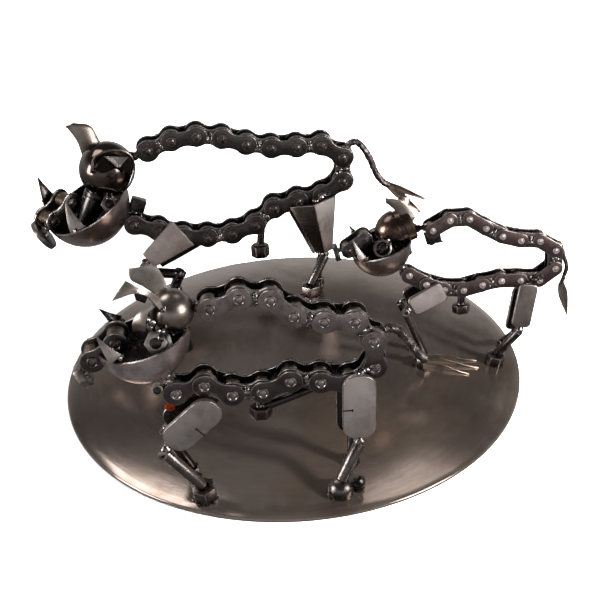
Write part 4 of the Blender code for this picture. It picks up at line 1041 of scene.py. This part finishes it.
def make_thigh(boar, which, side, label):
    """Makes a leg plate, and returns its knee and the way down through it."""
    leg, chain = LEGS[boar.name][which], boar.chain
    shift = leg["far"] if side > 0 else (0.0, 0.0)
    top, bottom = (boar.point(x + shift[0], z + shift[1]) for x, z in (leg["top"], leg["bottom"]))
    half_top, half_bottom = (w * chain.pitch / 2 for w in leg["widths"])
    length = (top - bottom).length
    across = side * (chain.outer_face + GAP + leg["plate"] / 2)
    slope = math.atan2(bottom.z - top.z, bottom.x - top.x)
    place = move(*top + Vector((0, across, 0))) @ SIDE_ON @ Matrix.Rotation(slope, 4, "Z")
    bm = bmesh.new()
    if "fold" in leg:
        add(bm, creased(half_top, half_bottom, length, leg["fold"], leg["plate"], side), place)
    else:
        flat = thicken(thigh_outline(length, half_top, half_bottom, leg["corner"]), leg["plate"],
                       THIGH_EDGE[boar.name], 3)
        add(bm, mesh_of(flat), place @ move(z=-leg["plate"] / 2))
    if boar is FRONT and side < 0:
        along, inner, outer = SLOTS[which]
        for one, two, width in ((outer, inner, SLOT_WIDTH), (inner, inner * 0.96, SLOT_END_WIDTH)):
            slot = bmesh.new()
            bmesh.ops.create_cube(slot, size=1.0)
            bmesh.ops.scale(slot, vec=(width, abs(two - one) * half_top + SLOT_DEPTH, SLOT_DEPTH), verts=slot.verts)
            add(bm, mesh_of(slot), place @ move(along * length, (one + two) / 2 * half_top, leg["plate"] / 2), DARK)
    if which == "rear":
        edge = top + Vector((half_top * 0.3, side * chain.outer_face, 0.001))
        weld_run(bm, edge + Vector((-0.003, 0, -0.001)), edge + Vector((0.005, 0, 0.002)), THIGH_WELD,
                 len(which) + side)
    if boar is FRONT and which == "fore" and side > 0:
        bead(bm, RUST_AT, RUST_SIZE, 3, 0.3, RUST, (1.0, 0.12, 0.9))
    # Far thigh plates take the near-black finish: painted shade.
    boar_piece(boar, f"{which}_leg_plate_{label}", bm,
               DULL_THIGHS.get((boar.name, which), thigh_steel) if side < 0 else black_and_shade_steel,
               f"{which}_thigh_{label}", edge=thigh_edge, more=(rust, plate_steel["back"]))
    return bottom + Vector((0, across, 0)), (bottom - top).normalized()


# The lower legs: short bars and rods, blackened, with ground ends. Each is welded to its thigh at the knee and stands
# in a nut or a domed cap that is the hoof, which weld fixes to the disc.

SHINS = {"front": dict(bar=0.0033, hoof=(0.0070, 0.0100)), "back": dict(bar=0.0029, hoof=(0.0066, 0.0075)),
         "small": dict(bar=0.0026, hoof=(0.0058, 0.0070))}
FAR_HOOF = 0.65
FAR_SHIN, FAR_BENT_SHIN = 0.85, 1.15
FOOT_BEADS = 9
HOOF_LUMPS, HOOF_LUMP = ((0.0085, 0.0, 0.0045), (0.0105, -0.002, 0.0075), (0.0098, 0.001, 0.0015)), 0.0030
SUNK = 0.0006

bar_steel = steel("dark bar steel", (0.120, 0.100, 0.092), (0.050, 0.040, 0.036), 0.24, spread=0.22, patches=140.0,
                  coat=0.3)


def cap_hoof(radius, height):
    """A domed cap: a rounded crown above a straight skirt."""
    crown = [(radius * math.sin(math.radians(a)), height * (0.42 + 0.58 * math.cos(math.radians(a))))
             for a in range(0, 91, 10)]
    return turned(crown + [(radius, 0.0), (radius * 1.05, -height * 0.1), (0.0, -height * 0.1)], 32)


def on_disc(boar, along, across):
    """Where a foot stands on the dome, and the way up from it, in the boar's own frame."""
    yaw = math.radians(boar.yaw)
    x = boar.at[0] + boar.chain.pitch * (along * math.cos(yaw) - across * math.sin(yaw))
    y = boar.at[1] + boar.chain.pitch * (along * math.sin(yaw) + across * math.cos(yaw))
    away = math.hypot(x, y)
    slope = DOME_HEIGHT * DOME_POWER * (away / DISC_RADIUS) ** (DOME_POWER - 1) / DISC_RADIUS
    into_boar = boar.home.inverted()
    return (into_boar @ (DISC_CENTRE + Vector((x, y, dome(away)))),
            (into_boar.to_3x3() @ Vector((x * slope, y * slope, away))).normalized())


def make_shin(boar, which, side, label, knee, down):
    """Makes the bar from a knee down to the disc, with its hoof square to the dome."""
    leg = LEGS[boar.name][which]
    ground, up = on_disc(boar, *(leg["foot"] if side < 0 else leg["foot_far"]))
    bar_radius, (radius, height) = SHINS[boar.name]["bar"], SHINS[boar.name]["hoof"]
    bends = leg.get("bends_far", ()) if side > 0 else ()
    if side > 0:
        radius, height = radius * FAR_HOOF, height * FAR_HOOF
        bar_radius *= FAR_BENT_SHIN if bends else FAR_SHIN
    ankle = ground + up * height
    bearing = (ankle - knee).normalized()
    start = knee + down * (GAP + bar_radius * down.cross(bearing).length + leg["plate"] / 2)
    bm = bmesh.new()
    joints = [start, *(boar.point(*bend, start.y) for bend in bends), ankle]
    for one, two in zip(joints, joints[1:]):
        add(bm, bar(bar_radius, (two - one).length), towards(one, two))
    for joint in joints[1:-1]:
        bead(bm, joint, bar_radius * 1.25, 4, 0.25, FACE)
    hoof = towards(ground - up * SUNK, ankle)
    if boar is FRONT and which == "rear":
        add(bm, cap_hoof(radius, height), hoof)
        for number, lump in enumerate(HOOF_LUMPS if side < 0 else ()):
            bead(bm, ground + Vector(lump), HOOF_LUMP, number, 0.4, DARK, detail=2)
    else:
        add(bm, nut_shape(radius, radius * 0.5, height), hoof)
        add(bm, bar(radius * 0.55, height * 0.8), hoof)
    seed = len(boar.name) * 3 + len(which) + side
    bead(bm, knee.lerp(start, 0.5), bar_radius * (1.0 if side < 0 else 0.8), seed, 0.22)
    if which == "fore" and side < 0:
        add(bm, nut_shape(bar_radius * 0.8, bar_radius * 0.42, bar_radius * 0.6, 20),
            towards(start + Vector((0, -bar_radius * 0.9, 0)), start + Vector((0, -1, 0.2))), EDGE)
    level = boar.home.inverted().to_3x3()
    for number in range(FOOT_BEADS):
        spot = ground + (level @ towards_round(number / FOOT_BEADS * math.tau + seed)) * radius * 0.92
        bead(bm, spot, bar_radius * 0.36, seed + number, 0.5, DARK, (1, 1, 0.5), 2)
    # Far lower legs take the near-black finish: painted shade.
    boar_piece(boar, f"{which}_lower_leg_{label}", bm, bar_steel if side < 0 else black_and_shade_steel, f"{which}_shin_{label}")


for each in BOARS:
    for which in ("rear", "fore"):
        for side, label in ((-1, "near"), (1, "far")):
            make_shin(each, which, side, label, *make_thigh(each, which, side, label))

# The tails: welding rod run over with beads of weld, bent down behind the rump, with torn strips of sheet on the end
# that the heat has tinted.

TAILS = {"front": dict(path=[(0.32, 0.24), (0.76, 0.20), (1.12, -0.24), (1.40, -0.70), (1.74, -1.13)],
                       radius=0.0024, blades=[((1.64, -1.06), (3.43, -1.36), 0.0060),
                                              ((1.66, -1.20), (3.50, -1.66), 0.0064),
                                              ((1.68, -1.34), (3.18, -1.88), 0.0058)]),
         "back": dict(path=[(0.30, 0.42), (0.62, 0.46), (0.91, 0.12), (1.13, -0.32), (1.31, -0.85), (1.58, -1.31),
                            (1.85, -1.50)], radius=0.0021,
                      blades=[((1.78, -1.46), (3.31, -2.27), 0.0040), ((1.82, -1.50), (3.09, -2.82), 0.0050)]),
         "small": dict(path=[(0.34, 0.20), (0.54, -0.55), (0.68, -1.10), (0.54, -1.62), (0.33, -2.15)],
                       radius=0.0013, blades=[((0.38, -2.00), (0.72, -3.94), 0.0058)])}
TAIL_STEPS = 46
BLADE_SHEET, BLADE_CROWN = 0.0009, 0.12

tail_steel = steel("weld-covered rod", (0.120, 0.100, 0.092), (0.040, 0.032, 0.029), 0.24, spread=0.25,
                   patches=300.0, grain=1200.0, bump=0.0002, coat=0.3)
burnt_steel = steel("heat-tinted strip", (0.300, 0.220, 0.165), (0.110, 0.080, 0.066), 0.28, patches=90.0, coat=0.2)


def rump_pin(boar):
    """The rearmost pin of the back, where the chain turns down."""
    run = boar.pins
    return run[max(range(len(run) // 2 + 1), key=lambda k: run[k].x + 0.4 * run[k].z)]


def make_tail(boar):
    tail, rump = TAILS[boar.name], rump_pin(boar)
    radius = tail["radius"]
    points = [rump + boar.point(*share) for share in tail["path"]]
    points.insert(0, rump + (points[0] - rump) * 0.55)
    bm = bmesh.new()
    rings = []
    for number in range(TAIL_STEPS + 1):
        share = number / TAIL_STEPS
        at = along_curve(points, share)
        ahead = along_curve(points, min(share + 0.01, 1.0)) - along_curve(points, max(share - 0.01, 0.0))
        ring = bmesh.ops.create_circle(bm, segments=12, radius=radius, matrix=towards(at, at + ahead))["verts"]
        rings.append({edge for vert in ring for edge in vert.link_edges})
    for one, two in zip(rings, rings[1:]):
        bmesh.ops.bridge_loops(bm, edges=list(one) + list(two))
    bmesh.ops.holes_fill(bm, edges=[edge for edge in bm.edges if edge.is_boundary], sides=0)
    outward(bm)
    for vert in bm.verts:
        vert.co += vert.normal * radius * 0.35 * noise.noise(vert.co * (2.2 / radius) + Vector((boar.yaw, 0, 0)))
    bmesh.ops.recalc_face_normals(bm, faces=bm.faces)
    for a, b, width in tail["blades"]:
        a, b = rump + boar.point(*a), rump + boar.point(*b)
        side = Vector((b.z - a.z, 0, a.x - b.x)).normalized() * width / 2
        one, other = ([a + out * 0.7, a.lerp(b, 0.35) + out, b + out * 0.08] for out in (side, -side))
        add(bm, sheet(one, other, BLADE_CROWN, BLADE_SHEET, 14, 4), material=EDGE)
    weld_run(bm, points[0], points[1], radius * 0.95, 71, 4)
    boar_piece(boar, "rod_tail", bm, tail_steel, "tail", edge=burnt_steel)


for each in BOARS:
    make_tail(each)

# The room: a plain pale floor, two low soft lights at the sides and two above, a broad one overhead, and a small one
# from the front right that draws the soft shadows. The surround is graded from pale to grey, and reflects in the disc.

FLOOR_SIZE = 8.0
AIM = DISC_CENTRE + Vector((0, 0, 0.06))
LIGHTS = {"left": dict(direction=(-0.94, -0.28, 0.195), away=1.3, size=0.55, power=18),
          "right": dict(direction=(0.777, -0.516, 0.359), away=1.3, size=0.55, power=18),
          "overhead": dict(direction=(0.0, 0.15, 1.0), away=1.8, size=2.2, power=48, in_gloss=False),
          "upper left": dict(direction=(-0.50, 0.30, 0.84), away=1.3, size=0.54, power=5.8),
          "upper right": dict(direction=(0.33, 0.34, 0.88), away=1.3, size=0.40, power=0.8),
          "front": dict(direction=(0.78, -0.44, 0.45), away=1.5, size=0.17, power=185, in_gloss=False)}
SURROUND = ((0.0, 0.20), (0.30, 0.27), (0.47, 0.55), (0.52, 0.85), (0.60, 0.68), (0.67, 0.38), (0.75, 0.13),
            (0.80, 0.11), (0.865, 0.11), (0.91, 0.12), (0.95, 0.13), (1.0, 0.14))


def make_floor():
    bm = bmesh.new()
    bmesh.ops.create_grid(bm, x_segments=2, y_segments=2, size=FLOOR_SIZE / 2)
    mesh = mesh_of(bm, "floor")
    paint = bpy.data.materials.new("pale floor")
    paint.use_nodes = True
    inputs = paint.node_tree.nodes["Principled BSDF"].inputs
    for label, value in (("Base Color", (0.86, 0.86, 0.86, 1)), ("Roughness", 0.9), ("Specular IOR Level", 0.1)):
        inputs[label].default_value = value
    mesh.materials.append(paint)
    floor = bpy.data.objects.new("floor", mesh)
    floor.visible_glossy = False
    bpy.context.scene.collection.objects.link(floor)


def make_light(name, direction, away, size, power, in_gloss=True):
    """A square soft light that faces the sculpture."""
    lamp = bpy.data.lights.new(name + " light", "AREA")
    lamp.shape, lamp.size, lamp.energy = "SQUARE", size, power
    made = bpy.data.objects.new(name + " light", lamp)
    made.location = AIM + Vector(direction).normalized() * away
    made.rotation_euler = (AIM - made.location).to_track_quat("-Z", "Y").to_euler()
    made.visible_glossy = in_gloss
    bpy.context.scene.collection.objects.link(made)


def make_surround():
    """A surround whose grey depends on the height that is looked at."""
    made = bpy.data.worlds.new("pale surround")
    made.use_nodes = True
    air = made.node_tree
    looked_at = node(air, "TexCoord")
    parts = node(air, "SeparateXYZ", looked_at.outputs["Generated"])
    height = node(air, "MapRange", parts.outputs["Z"], From_Min=-1.0, From_Max=1.0)
    fade = node(air, "ValToRGB", height.outputs["Result"])
    ramp = fade.color_ramp
    while len(ramp.elements) < len(SURROUND):
        ramp.elements.new(0.5)
    for element, (place, shade) in zip(ramp.elements, SURROUND):
        element.position = place
        element.color = (shade, shade, shade, 1)
    air.links.new(fade.outputs["Color"], air.nodes["Background"].inputs["Color"])
    bpy.context.scene.world = made


make_floor()
for name, values in LIGHTS.items():
    make_light(name, **values)
make_surround()
bpy.context.scene.view_settings.view_transform = "Standard"

# The camera looks down on the sculpture from the front, as in the photograph.

CAMERA_AT = Vector((0.0, -0.758425, 0.533030))
IMAGE_RIGHT = Vector((0.99822292, -0.0378708, -0.04600884))
IMAGE_DOWN = Vector((-0.05912102, -0.53268211, -0.84424788))
LOOKING = Vector((0.00746426, 0.84546767, -0.53397444))
LENS = 90.72
camera_data = bpy.data.cameras.new("camera")
camera_data.lens = LENS
camera_data.sensor_width = 36
camera = bpy.data.objects.new("camera", camera_data)
bpy.context.scene.collection.objects.link(camera)
camera.matrix_world = (Matrix.Translation(DISC_CENTRE + CAMERA_AT)
                       @ Matrix((IMAGE_RIGHT, -IMAGE_DOWN, -LOOKING)).transposed().to_4x4())
bpy.context.scene.camera = camera
